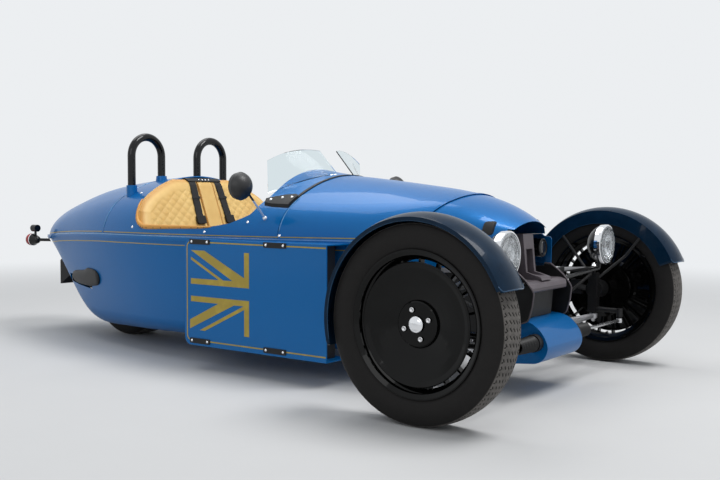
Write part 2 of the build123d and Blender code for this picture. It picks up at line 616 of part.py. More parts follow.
def headlamp_rim(side):
    """The bright ring that holds the lens on the bowl."""
    centre = (HEADLAMP_X, side * HEADLAMP_Y, HEADLAMP_Z)
    r = HEADLAMP_R
    face = make_face(Polyline((SEAT_GAP - 30.0, r - 7.0), (SEAT_GAP - 30.0, r - 1.5), (-14.0, r), (-3.0, r),
                              (0.0, r - 3.0), (0.0, r - 7.0), close=True))
    plane = Plane(origin=centre, x_dir=(1, 0, 0), z_dir=(0, -1, 0))
    return revolve(plane * face, Axis(centre, (1, 0, 0)))


def headlamp_lens(side):
    """The clear lens that closes the bowl."""
    centre = (HEADLAMP_X, side * HEADLAMP_Y, HEADLAMP_Z)
    r = HEADLAMP_R - 7.0 - SEAT_GAP
    face = make_face([Line((-4.0, 0), (-4.0, r)), Line((-4.0, r), (0.0, r)),
                      dome(0.0, r, 9.0), Line((9.0, 0), (-4.0, 0))])
    plane = Plane(origin=centre, x_dir=(1, 0, 0), z_dir=(0, -1, 0))
    return revolve(plane * face, Axis(centre, (1, 0, 0)))


def hoop(side):
    """One roll hoop over a seat."""
    y = side * HOOP_Y
    foot = 780.0
    legs = [(HOOP_X, y - HOOP_HALF, foot), (HOOP_X, y - HOOP_HALF, HOOP_TOP_Z),
            (HOOP_X, y + HOOP_HALF, HOOP_TOP_Z), (HOOP_X, y + HOOP_HALF, foot)]
    return tube(legs, HOOP_HALF - 1.0, HOOP_R)


def hoop_sockets(side, solid_hull):
    """The body-coloured collars that the hoop's legs stand in: flared inboard, plain outboard."""
    collars = []
    for leg in (-HOOP_HALF, HOOP_HALF):
        y = side * HOOP_Y + leg
        if abs(y) < HOOP_Y:
            bar = Pos(HOOP_X, y, 790.0) * Cone(HOOP_R + 20.0, HOOP_R + 7.0, 120.0, align=(Align.CENTER, Align.CENTER, Align.MIN))
        else:
            bar = rod((HOOP_X, y, 700.0), (HOOP_X, y, 858.0), HOOP_R + 7.0)
        collars.append((bar - solid_hull) - rod((HOOP_X, y, 600.0), (HOOP_X, y, 1000.0), HOOP_BORE_R))
    return collars


def front_frame():
    """The cast nose bracket: two rails with a plate across the top, kinked forward at the foot."""
    outline = Polyline((-60.0, COVER_TOP_Z + SEAT_GAP), (78.0, COVER_TOP_Z + SEAT_GAP), (70.0, 474.0), (4.0, 492.0), (-12.0, 652.0), (-60.0, 652.0),
                       close=True)
    face = make_face(outline)
    plane = Plane(origin=(0, -46.0, 0), x_dir=(1, 0, 0), z_dir=(0, -1, 0))
    body = extrude(plane * face, -92.0)
    body -= block((-30.0, 100.0), (-30.0, 30.0), (478.0, 588.0))
    return body


def front_cover():
    """The plastic lid over the crash box: a sloping front edge and round corners in plan."""
    lid = side_cut([(-60.0, COVER_FOOT_Z), (-60.0, COVER_TOP_Z), (60.0, COVER_TOP_Z), (84.0, 452.0), (94.0, 436.0),
                    (93.0, 424.0), (88.0, COVER_FOOT_Z)], (-COVER_HALF, COVER_HALF))
    plan = make_face(Polyline((-60.0, -COVER_HALF), (95.0, -COVER_HALF), (95.0, COVER_HALF), (-60.0, COVER_HALF), close=True))
    plan = fillet(plan.vertices().filter_by(lambda v: v.X > 0.0), 28.0)
    return lid & extrude(Plane(origin=(0, 0, 400.0)) * plan, 100.0)


def crash_box():
    """The dark box between the lid and the painted bib."""
    return side_cut([(-60.0, BIB_TOP_Z + SEAT_GAP), (-60.0, COVER_FOOT_Z - SEAT_GAP), (58.0, COVER_FOOT_Z - SEAT_GAP),
                     (52.0, 340.0), (48.0, 308.0), (41.0, 307.5)], (-CRASH_HALF, CRASH_HALF))


def chassis_plates():
    """Two side plates of the front frame, with cross tubes and the brackets that hold the wishbones."""
    low, high = COVER_HALF + SEAT_GAP, COVER_HALF + SEAT_GAP + PLATE_T
    back = FIREWALL_X - 6.0 + SEAT_GAP
    face = make_face(Polyline((back, 170.0), (20.0, 170.0), (40.0, 290.0), (83.0, 306.0), (101.0, 365.0),
                              (108.0, 423.0), (69.0, 471.0), (10.0, CHEEK_Z - 4.0), (back, CHEEK_Z - 60.0), close=True))
    face = fillet(face.vertices().filter_by(lambda v: v.X > 15.0), 14.0)
    body = None
    for _, side in SIDES:
        plane = Plane(origin=(0, side * low, 0), x_dir=(1, 0, 0), z_dir=(0, -1, 0))
        plate = extrude(plane * face, -side * PLATE_T)
        for x, pivot_y, pivot_z in [(x, UPPER_PIVOT_Y, UPPER_PIVOT_Z) for x in UPPER_PIVOT_XS] + \
                                   [(x, LOWER_PIVOT_Y, LOWER_PIVOT_Z) for x in LOWER_PIVOT_XS]:
            for way in (-1.0, 1.0):
                ear_x = x + way * (PIVOT_HALF + SEAT_GAP)
                plate += block((ear_x, ear_x + way * 6.0), (side * (high - 1.0), side * (pivot_y + 14.0)),
                               (pivot_z - 14.0, pivot_z + 14.0))
        body = plate if body is None else body + plate
    for z in (200.0, 440.0):
        body += rod((FIREWALL_X + 30.0, -low - 1.0, z), (FIREWALL_X + 30.0, low + 1.0, z), 16.0)
    return body


def front_bib():
    """The painted crash box under the nose, with a bore at each side for the steering rack."""
    outline = make_face([Line((-60.0, BIB_TOP_Z), (41.0, 307.0)),
                         ThreePointArc((41.0, 307.0), (138.0, 262.0), (166.0, 205.0)),
                         ThreePointArc((166.0, 205.0), (150.0, 158.0), (100.0, 132.0)),
                         Line((100.0, 132.0), (-60.0, 118.0)), Line((-60.0, 118.0), (-60.0, BIB_TOP_Z))])
    plane = Plane(origin=(0, -BIB_HALF, 0), x_dir=(1, 0, 0), z_dir=(0, -1, 0))
    body = extrude(plane * outline, -2 * BIB_HALF)
    return body - rod((RACK_X, -300.0, RACK_Z), (RACK_X, 300.0, RACK_Z), GAITER_R + SEAT_GAP)


def rack_housing():
    """The steering rack's housing with a bellows at each end."""
    body = rod((RACK_X, -200.0, RACK_Z), (RACK_X, 200.0, RACK_Z), GAITER_R)
    body -= rod((RACK_X, -300.0, RACK_Z), (RACK_X, 300.0, RACK_Z), RACK_R + PIN_PLAY)
    for _, side in SIDES:
        body -= rod((RACK_X, side * 160.0, RACK_Z), (RACK_X, side * 210.0, RACK_Z), 20.0)
        points = [(200.0, 22.0), (200.0, GAITER_R - 4.0)]
        ribs = 6
        step = (RACK_HALF - 200.0) / ribs
        for i in range(ribs):
            y = 200.0 + i * step
            points += [(y + step * 0.5, GAITER_R - 2.0 - i * 0.8), (y + step, GAITER_R - 8.0 - i * 0.8)]
        points += [(RACK_HALF, 22.0)]
        body += turned([(side * a, r) for a, r in points], (RACK_X, 0, RACK_Z))
    return body


def tie_rods():
    """The rack's bar with both tie rods, one sliding piece, open at the outer eyes."""
    reach = 255.0
    body = rod((RACK_X, -reach, RACK_Z), (RACK_X, reach, RACK_Z), RACK_R)
    for _, side in SIDES:
        eye = steer_eye(side)
        body += Pos(RACK_X, side * reach, RACK_Z) * Sphere(13.0)
        body += rod((RACK_X, side * reach, RACK_Z), (eye[0], eye[1], RACK_Z + 6.0), TIE_R)
        body += rod((eye[0], eye[1], RACK_Z - 4.0), (eye[0], eye[1], RACK_Z + TIE_EYE_TOP), 14.0)
    return body


def pull_rod(side):
    """The pull rod from under the upper wishbone's tip down to the spring's rocker on the frame."""
    top = (6.0, side * 628.0, 440.0)
    foot = (-20.0, side * 212.0, 300.0)
    body = rod(top, foot, 7.0)
    body += rod((-20.0, side * (COVER_HALF + SEAT_GAP * 2 + PLATE_T), 300.0), (-20.0, side * 226.0, 300.0), 20.0)
    return body + rod((2.0, side * 628.0, 432.0), (2.0, side * 628.0, 453.8), 9.0)


def engine_block():
    """The engine as one plain block at its real place."""
    return block((-540.0, -100.0), (-COVER_HALF, COVER_HALF), (200.0, 600.0))


def swing_arm():
    """Two trailing arms from the tub to the rear axle, joined by a cross tube."""
    pivot_x = REAR_WALL_X - SKIN - SEAT_GAP - 24.0
    body = rod((pivot_x, -150.0, 260.0), (pivot_x, 150.0, 260.0), 24.0)
    for _, side in SIDES:
        y = side * 124.0
        body += rod((pivot_x, y, 260.0), (-WHEELBASE, y, REAR_TYRE_R), 18.0)
        body += rod((-WHEELBASE, y - 14.0, REAR_TYRE_R), (-WHEELBASE, y + 14.0, REAR_TYRE_R), 34.0)
    return body - rod((-WHEELBASE, -200.0, REAR_TYRE_R), (-WHEELBASE, 200.0, REAR_TYRE_R), REAR_AXLE_R + PIN_PLAY)


def rear_rim():
    """The rear rim with a hub that runs on the axle."""
    centre = (-WHEELBASE, 0, REAR_TYRE_R)
    rim = barrel(centre, 1.0, REAR_RIM_W, REAR_BEAD_R, REAR_FLANGE_R, RIM_WALL, REAR_TYRE_W)
    well = REAR_BEAD_R - SEAT_GAP - 20.0
    disc = turned([(-12.0, REAR_AXLE_R + PIN_PLAY), (-12.0, well - 4.0), (12.0, well - 4.0),
                   (12.0, REAR_AXLE_R + PIN_PLAY)], centre)
    hub = turned([(-100.0, REAR_AXLE_R + PIN_PLAY), (-100.0, 50.0), (100.0, 50.0), (100.0, REAR_AXLE_R + PIN_PLAY)],
                 centre)
    return rim + disc + hub


def seat_face(z):
    """Where the seats' face stands at a height."""
    return SEAT_X - SEAT_LEAN * (z - SEAT_Z)


def back_slab(front, y_span):
    """A leaning slab for a seat back: its face stands the given distance ahead of the seat's face."""
    foot = SEAT_FOOT_Z + SEAT_GAP
    return side_cut([(seat_face(foot) + front, foot), (seat_face(1000.0) + front, 1000.0),
                     (REAR_WALL_X + SEAT_GAP, 1000.0), (REAR_WALL_X + SEAT_GAP, 880.0), (-1850.0, foot)], y_span)


def seat_back(side, room):
    """One seat back, shaped to the arch of the body behind it."""
    return room & back_slab(0.0, (side * (TUNNEL_HALF + 4.0), side * 600.0))


def lid_eyes():
    """The eyes of the boot lid's hinges, open for the pins."""
    eyes = []
    for _, side in SIDES:
        for low, high in ((HINGE_LUG / 2 + 0.5, HINGE_LUG / 2 + 9.0), (-HINGE_LUG / 2 - 9.0, -HINGE_LUG / 2 - 0.5)):
            y = side * HINGE_Y
            eyes.append(rod((HINGE_X, y + low, HINGE_Z), (HINGE_X, y + high, HINGE_Z), 6.6)
                        - rod((HINGE_X, y - 30.0, HINGE_Z), (HINGE_X, y + 30.0, HINGE_Z), HINGE_PIN_R + PIN_PLAY))
    return eyes


def boot_hinges():
    """The fixed half of the hinges: a lug on the tail moulding with its pin."""
    lugs = []
    for _, side in SIDES:
        y = side * HINGE_Y
        foot = SECTIONS[-1]["belt"] + MOULDING_HALF + SEAT_GAP
        lug = block((HINGE_X - 4.0, HINGE_X + 4.0), (y - HINGE_LUG / 2, y + HINGE_LUG / 2), (foot, HINGE_Z))
        lug += rod((HINGE_X, y - HINGE_LUG / 2, HINGE_Z), (HINGE_X, y + HINGE_LUG / 2, HINGE_Z), 5.5)
        lugs.append(lug + rod((HINGE_X, y - 14.0, HINGE_Z), (HINGE_X, y + 14.0, HINGE_Z), HINGE_PIN_R))
    return lugs


def seat_base(side, room):
    """One seat cushion on the cabin floor."""
    shape = side_cut([(-1330.0, 60.0), (-1330.0, 320.0), (-1390.0, 340.0), (-1700.0, SEAT_FOOT_Z),
                      (-1850.0, SEAT_FOOT_Z), (-1850.0, 60.0)],
                     (side * (TUNNEL_HALF + 4.0), side * 412.0))
    return room & shape


def tunnel(room):
    """The tunnel between the seats, from the firewall to the rear wall."""
    return room & block((-1850.0, FIREWALL_X - 14.0), (-TUNNEL_HALF, TUNNEL_HALF), (60.0, TUNNEL_TOP_Z))


def centre_pad(room):
    """The plain padded band between the two seat backs."""
    band = back_slab(8.0, (-TUNNEL_HALF, TUNNEL_HALF))
    return room & band & block((-2200.0, 0.0), (-100.0, 100.0), (TUNNEL_TOP_Z + SEAT_GAP, 1000.0))


def belt_strap(side):
    """A shoulder belt down the pad from the plate at its top, with its buckle, splayed a little."""
    low, high = 655.0, 908.0
    y = side * BELT_Y
    strap = side_cut([(seat_face(low) + SEAT_GAP, low), (seat_face(high) + SEAT_GAP, high),
                      (seat_face(high) + SEAT_GAP + 3.0, high), (seat_face(low) + SEAT_GAP + 3.0, low)],
                     (y - BELT_W / 2, y + BELT_W / 2))
    buckle = side_cut([(seat_face(z) + SEAT_GAP + depth, z) for z, depth in
                       ((low - 8.0, 0.0), (low + 44.0, 0.0), (low + 44.0, 12.0), (low - 8.0, 12.0))], (y - 30.0, y + 30.0))
    middle = (low + high) / 2
    return (strap + buckle).rotate(Axis((seat_face(middle), y, middle), (1.0, 0, SEAT_LEAN)), side * BELT_SPLAY_DEG)


def belt_plate():
    """The black plate on the pad's top that the belts hang from."""
    layer = hull(PAD_RISE + 6.0) - hull(PAD_RISE + SEAT_GAP)
    return layer & block((-2001.0, -1973.0), (-130.0, 130.0), (850.0, 1000.0))


def coaming_roll(side):
    """The padded roll on the cockpit's side rim, from the seat back forward."""
    start, middle, end = ((-1868.0, 507.0, 655.3), (-1650.0, 515.5, 660.6), (-1412.0, 511.0, 672.4))
    points = [(x, side * y, z) for x, y, z in (start, middle, end)]
    path = ThreePointArc(*points)
    body = sweep(Plane(origin=path @ 0, z_dir=path % 0) * Circle(ROLL_R), path)
    return body + Pos(*points[0]) * Sphere(ROLL_R) + Pos(*points[2]) * Sphere(ROLL_R)


def dashboard(room):
    """The dashboard under the cockpit surround's front edge."""
    return room & side_cut([(-1090.0, 700.0), (-1112.0, 900.0), (-1090.0, 1000.0), (-1070.0, 1000.0), (-1070.0, 700.0)])


def screen(side):
    """A small curved screen in front of one seat."""
    foot = ThreePointArc((-968.0, side * 57.0, 886.0), (-1050.0, side * 230.0, 860.0), (-1172.0, side * 355.0, 776.0))
    head = ThreePointArc((-1098.0, side * 63.0, 1026.0), (-1148.0, side * 221.0, 1019.0),
                         (-1172.0, side * 355.0, 971.0))
    return thicken(Face.make_surface_from_curves(foot, head), SCREEN_T)


def nose_lamp(side):
    """A small round lamp beside the nose bracket."""
    centre = (NOSE_LAMP_X, side * NOSE_LAMP_Y, NOSE_LAMP_Z)
    return rod((-76.0, centre[1], centre[2]), centre, NOSE_LAMP_R)


def lamp_bar():
    """The bar behind the nose bracket that carries the two nose lamps."""
    x = -60.0 - SEAT_GAP - 8.0
    return rod((x, -NOSE_LAMP_Y, NOSE_LAMP_Z), (x, NOSE_LAMP_Y, NOSE_LAMP_Z), 8.0)


def indicator(side, layer):
    """A rounded block indicator on the cowl's side: a piece of the layer over its skin."""
    x, z = INDICATOR
    plane = Plane(origin=(x, side * 120.0, z), x_dir=(1, 0, 0), z_dir=(0, side, 0))
    return layer & extrude(plane * RectangleRounded(34.0, 56.0, 12.0), 200.0)


def plate_bracket(fitted):
    """The blank number plate's bracket behind the tail, with a gusset at each end."""
    body = block((PLATE_X - 2.0, PLATE_X + 2.0), (-150.0, 150.0), (269.0, 412.0))
    for _, side in SIDES:
        body += side_cut([(PLATE_X, 270.0), (PLATE_X, 412.0), (-2930.0, 480.0), (-2840.0, 400.0)],
                         (side * 146.0, side * 150.0))
    return (body - fitted).solids().sort_by(lambda solid: solid.volume)[-1]


def exhaust(room):
    """The silencer behind the right flank's cut-out, with its short tail pipe."""
    can = rod((EXHAUST_X + 170.0, EXHAUST_Y, EXHAUST_Z), (EXHAUST_X - 60.0, EXHAUST_Y, EXHAUST_Z), 46.0)
    pipe = rod((EXHAUST_X - 40.0, EXHAUST_Y, EXHAUST_Z), (EXHAUST_X - 90.0, EXHAUST_Y - 80.0, EXHAUST_Z), PIPE_R)
    strap = block((EXHAUST_X + 90.0, EXHAUST_X + 120.0), (EXHAUST_Y - 12.0, EXHAUST_Y + 12.0), (0.0, 300.0))
    return (can & room) + pipe + (strap & room)


def wing_mirror(side):
    """A round mirror bowl on a thin stalk."""
    centre = (MIRROR_X, side * MIRROR_Y, MIRROR_Z)
    bowl = make_face([Line((-18.0, 0), (-18.0, MIRROR_R - 4.0)), Line((-18.0, MIRROR_R - 4.0), (0.0, MIRROR_R)),
                      dome(0.0, MIRROR_R, 48.0), Line((48.0, 0), (-18.0, 0))])
    plane = Plane(origin=centre, x_dir=(1, 0, 0), z_dir=(0, -1, 0))
    ball = revolve(plane * bowl, Axis(centre, (1, 0, 0)))
    foot = (MIRROR_FOOT[0], side * MIRROR_FOOT[1], MIRROR_FOOT[2])
    stalk = rod((MIRROR_X + 14.0, side * (MIRROR_Y - 38.0), MIRROR_Z - 36.0), foot, 5.0)
    return ball + stalk + Pos(*foot) * Sphere(11.0)


def rear_lamp(side, keep_out):
    """A bullet lamp on a short arm from the tail, with a small round indicator over it."""
    centre = (REAR_LAMP_X, side * REAR_LAMP_Y, REAR_LAMP_Z)
    r = REAR_LAMP_R
    lens = LENS_DEPTH + SEAT_GAP
    shape = make_face([Line((lens, 0), (lens, r)), Line((lens, r), (40.0, r - 1.0)), Line((40.0, r - 1.0), (76.0, r - 12.0)),
                       dome(76.0, r - 12.0, 14.0), Line((90.0, 0), (lens, 0))])
    plane = Plane(origin=centre, x_dir=(1, 0, 0), z_dir=(0, -1, 0))
    body = revolve(plane * shape, Axis(centre, (1, 0, 0)))
    body += rod((REAR_LAMP_X + 60.0, centre[1], REAR_LAMP_Z), (-3040.0, side * 196.0, REAR_LAMP_Z), 9.0)
    x, z = TAIL_INDICATOR
    body += rod((x, centre[1], REAR_LAMP_Z), (x, centre[1], z), 7.0)
    body += rod((x - 23.0, centre[1], z), (x + 22.0, centre[1], z), 21.0)
    return (body - keep_out).solids().sort_by(lambda solid: solid.volume)[-1]


def rear_lens(side):
    """The red lens at the back of the bullet lamp."""
    centre = (REAR_LAMP_X, side * REAR_LAMP_Y, REAR_LAMP_Z)
    face = make_face([Line((LENS_DEPTH, 0), (0, 0)), Line((0, 0), (0, REAR_LAMP_R - 6.0)),
                      Line((0, REAR_LAMP_R - 6.0), (4.0, REAR_LAMP_R - 2.0)),
                      Line((4.0, REAR_LAMP_R - 2.0), (LENS_DEPTH, REAR_LAMP_R - 2.0)),
                      Line((LENS_DEPTH, REAR_LAMP_R - 2.0), (LENS_DEPTH, 0))])
    plane = Plane(origin=centre, x_dir=(1, 0, 0), z_dir=(0, -1, 0))
    return revolve(plane * face, Axis(centre, (1, 0, 0)))


def helm_axis():
    """The steering column's direction, from the dashboard up to the driver."""
    tilt = radians(COLUMN_TILT_DEG)
    return Vector(-cos(tilt), 0, sin(tilt))


def column():
    """The steering column down to the firewall."""
    up = helm_axis()
    top = Vector(HELM_X, HELM_Y, HELM_Z) + up * 30.0
    foot = top - up * 903.5
    bearing = Vector(HELM_X, HELM_Y, HELM_Z) - up * 60.0
    body = rod(tuple(foot), tuple(top), 11.0)
    return body + rod(tuple(foot), tuple(bearing), 24.0)


def helm():
    """The steering wheel: a rim, three spokes and a boss on the column."""
    up = helm_axis()
    plane = Plane(origin=(HELM_X, HELM_Y, HELM_Z), x_dir=(0, 1, 0), z_dir=tuple(up))
    rim = Torus(HELM_R, 12.0)
    boss = Cylinder(32.0, 44.0) - Cylinder(11.0 + PIN_PLAY, 200.0)
    body = rim
    for i in range(3):
        arm = Pos(HELM_R / 2 + 8.0, 0, 0) * Box(HELM_R - 30.0, 24.0, 6.0)
        body += arm.rotate(Axis.Z, 90.0 + i * 120.0)
    return plane * (body + boss - Cylinder(11.0 + PIN_PLAY, 200.0))


def main():
    os.makedirs("parts", exist_ok=True)
    solid_hull = hull()
    inner = hull(-SKIN, front_out=20.0, rear_out=-SKIN)
    skin = solid_hull - inner
    nose, bonnet, surround, lid = deck_panels(skin, inner)
    save("tub", tub(skin))
    save("nose_cowl", nose)
    save("bonnet", bonnet)
    for _, side in SIDES:
        for collar in hoop_sockets(side, solid_hull):
            surround += collar
    for _, side in SIDES:
        for leg in (-HOOP_HALF, HOOP_HALF):
            y = side * HOOP_Y + leg
            surround -= rod((HOOP_X, y, 600.0), (HOOP_X, y, 1000.0), HOOP_BORE_R)
    save("cockpit_surround", surround)
    save("boot_lid", lid + lid_eyes())
    save("boot_hinges", *boot_hinges())
    save("belt_mouldings", moulding())
    fitted = hull(SEAT_GAP)
    moulded = hull(MOULDING_OUT + SEAT_GAP, rear_out=MOULDING_OUT + SEAT_GAP)
    band = side_cut(belt_line(MOULDING_HALF + SEAT_GAP) + list(reversed(belt_line(-MOULDING_HALF - SEAT_GAP))))
    blade_room = fitted + (moulded & band)
    save("side_blades", *both_sides(lambda s: blade(s, blade_room)))
    save("blade_mounts", *both_sides(blade_mounts))
    save("scuttle_strip", scuttle_strip())
    cowl_layer = hull(14.0, rows=NOSE_SECTIONS) - hull(SEAT_GAP, rows=NOSE_SECTIONS)
    save("indicators", *both_sides(lambda s: indicator(s, cowl_layer)))
    save("radiators", *both_sides(radiator))
    room = hull(-SKIN - SEAT_GAP, rear_out=-SKIN - SEAT_GAP)
    save("bulkheads", wall_across(room, FIREWALL_X - 6.0), wall_across(room, REAR_WALL_X))
    save("front_frame", front_frame())
    save("front_cover", front_cover())
    save("crash_box", crash_box())
    save("front_bib", front_bib())
    save("engine_block", engine_block())
    save("rack_housing", rack_housing())
    save("tie_rods", tie_rods())
    save("upper_arms", *both_sides(lambda s: wishbone(s, UPPER_BALL_Z, UPPER_PIVOT_Y, UPPER_PIVOT_Z, UPPER_PIVOT_XS)),
         *both_sides(pull_rod))
    save("lower_arms", *both_sides(lambda s: wishbone(s, LOWER_BALL_Z, LOWER_PIVOT_Y, LOWER_PIVOT_Z, LOWER_PIVOT_XS)))
    save("chassis_plates", chassis_plates())
    pad_room = hull(-SKIN - PAD_INSET) + (hull(PAD_RISE) & cabin_opening(1.0))
    save("seat_backs", *both_sides(lambda s: seat_back(s, pad_room)))
    save("seat_bases", *both_sides(lambda s: seat_base(s, room)))
    save("tunnel", tunnel(room))
    save("centre_pad", centre_pad(pad_room))
    save("belts", *both_sides(belt_strap), belt_plate())
    save("coaming_rolls", *both_sides(coaming_roll))
    save("dashboard", dashboard(room))
    rising = scuttle(SEAT_GAP)
    save("screens", *both_sides(lambda s: (screen(s) - fitted - rising).solids().sort_by(lambda f: f.volume)[-1]))
    save("nose_lamps", nose_lamp(-1.0) + lamp_bar() + nose_lamp(1.0))
    save("plate_bracket", plate_bracket(fitted))
    save("exhaust", exhaust(room))
    save("rear_lamp_lenses", *both_sides(rear_lens))
    save("headlamps", *both_sides(headlamp))
    save("headlamp_rims", *both_sides(headlamp_rim))
    save("headlamp_lenses", *both_sides(headlamp_lens))
    save("roll_hoops", *both_sides(hoop))
    save("mirrors", *[ball - fitted for ball in both_sides(wing_mirror)])
    save("rear_lamps", *both_sides(lambda s: rear_lamp(s, moulded)))
    save("steering_column", column())
    save("steering_wheel", helm())
    save("swing_arm", swing_arm())
    upright = knuckle(-1.0)
    for name, side in SIDES:
        save(f"knuckle_{name}", upright if side < 0 else mirror(upright, about=Plane.XZ))
        save(f"mudguard_{name}", mudguard(side))
        save(f"tyre_{name}", tyre(side * TRACK / 2, TYRE_W, TYRE_R, BEAD_R))
        save(f"rim_{name}", front_rim(side))
        save(f"wheel_cover_{name}", wheel_cover(side))
    save("tyre_rear", tyre(0.0, REAR_TYRE_W, REAR_TYRE_R, REAR_BEAD_R, -WHEELBASE))
    save("rim_rear", rear_rim())
    save("rear_axle", rod((-WHEELBASE, -141.0, REAR_TYRE_R), (-WHEELBASE, 141.0, REAR_TYRE_R), REAR_AXLE_R))


if __name__ == "__main__":
    main()
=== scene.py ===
"""Looks for the open three-wheeled car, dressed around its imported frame.

Every object stands at the origin, unturned, with its place in its mesh, in metres in the row's frame.
Places that the tables give in millimetres are measured from the front axle's centre line, on the ground.
"""
import logging
import math
from dataclasses import dataclass, field
from enum import Enum
from typing import Sequence

import bmesh
import bpy
import numpy as np
from mathutils import Matrix, Vector
from mathutils.bvhtree import BVHTree


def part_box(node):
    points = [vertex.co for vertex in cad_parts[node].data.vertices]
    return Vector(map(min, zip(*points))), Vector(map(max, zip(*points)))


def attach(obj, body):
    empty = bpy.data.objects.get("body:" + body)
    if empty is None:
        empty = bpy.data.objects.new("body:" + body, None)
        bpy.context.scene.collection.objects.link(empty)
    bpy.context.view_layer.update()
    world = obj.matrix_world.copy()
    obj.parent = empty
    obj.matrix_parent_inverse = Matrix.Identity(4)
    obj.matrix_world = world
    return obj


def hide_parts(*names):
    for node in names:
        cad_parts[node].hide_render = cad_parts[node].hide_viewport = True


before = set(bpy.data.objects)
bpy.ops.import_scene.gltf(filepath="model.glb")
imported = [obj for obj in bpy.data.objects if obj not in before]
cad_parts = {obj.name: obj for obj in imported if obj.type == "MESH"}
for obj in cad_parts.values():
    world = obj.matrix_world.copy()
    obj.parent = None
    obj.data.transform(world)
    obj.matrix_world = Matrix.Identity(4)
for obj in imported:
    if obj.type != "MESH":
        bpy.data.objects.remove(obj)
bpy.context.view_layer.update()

LOG = logging.getLogger("car")
MM = 0.001
AXLE_X = sum(corner.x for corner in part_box("tyre_right")) / 2
AHEAD, BACK, UP, DOWN = (1.0, 0.0, 0.0), (-1.0, 0.0, 0.0), (0.0, 0.0, 1.0), (0.0, 0.0, -1.0)
Colour = tuple[float, float, float]
Shape = tuple[np.ndarray, list]


class Side(Enum):
    """The car's two sides, each with the sign of y there."""

    RIGHT = -1.0
    LEFT = 1.0


SIDES = tuple((side.name.lower(), side.value) for side in Side)


def place(x: float, y: float, z: float) -> np.ndarray:
    """Turns millimetres from the front axle into metres in the row's frame.

    Args:
        x, y, z: the point, in millimetres; each may be an array.

    Returns:
        The points, with the three coordinates on the last axis.
    """
    x, y, z = np.broadcast_arrays(np.asarray(x, float), np.asarray(y, float), np.asarray(z, float))
    return np.stack([AXLE_X + x * MM, y * MM, z * MM], axis=-1)


class Sock:
    """A shader value with Python's arithmetic: each operator adds one Math node."""

    def __init__(self, net: "Net", port: bpy.types.NodeSocket) -> None:
        """Keeps the net and the node's output."""
        self.net = net
        self.port = port

    def __add__(self, other: "Sock | float") -> "Sock":
        """Sum."""
        return self.net.math("ADD", self, other)

    __radd__ = __add__

    def __sub__(self, other: "Sock | float") -> "Sock":
        """Difference."""
        return self.net.math("SUBTRACT", self, other)

    def __rsub__(self, other: float) -> "Sock":
        """Difference with a number on the left."""
        return self.net.math("SUBTRACT", other, self)

    def __mul__(self, other: "Sock | float") -> "Sock":
        """Product."""
        return self.net.math("MULTIPLY", self, other)

    def __abs__(self) -> "Sock":
        """Size without its sign."""
        return self.net.math("ABSOLUTE", self)


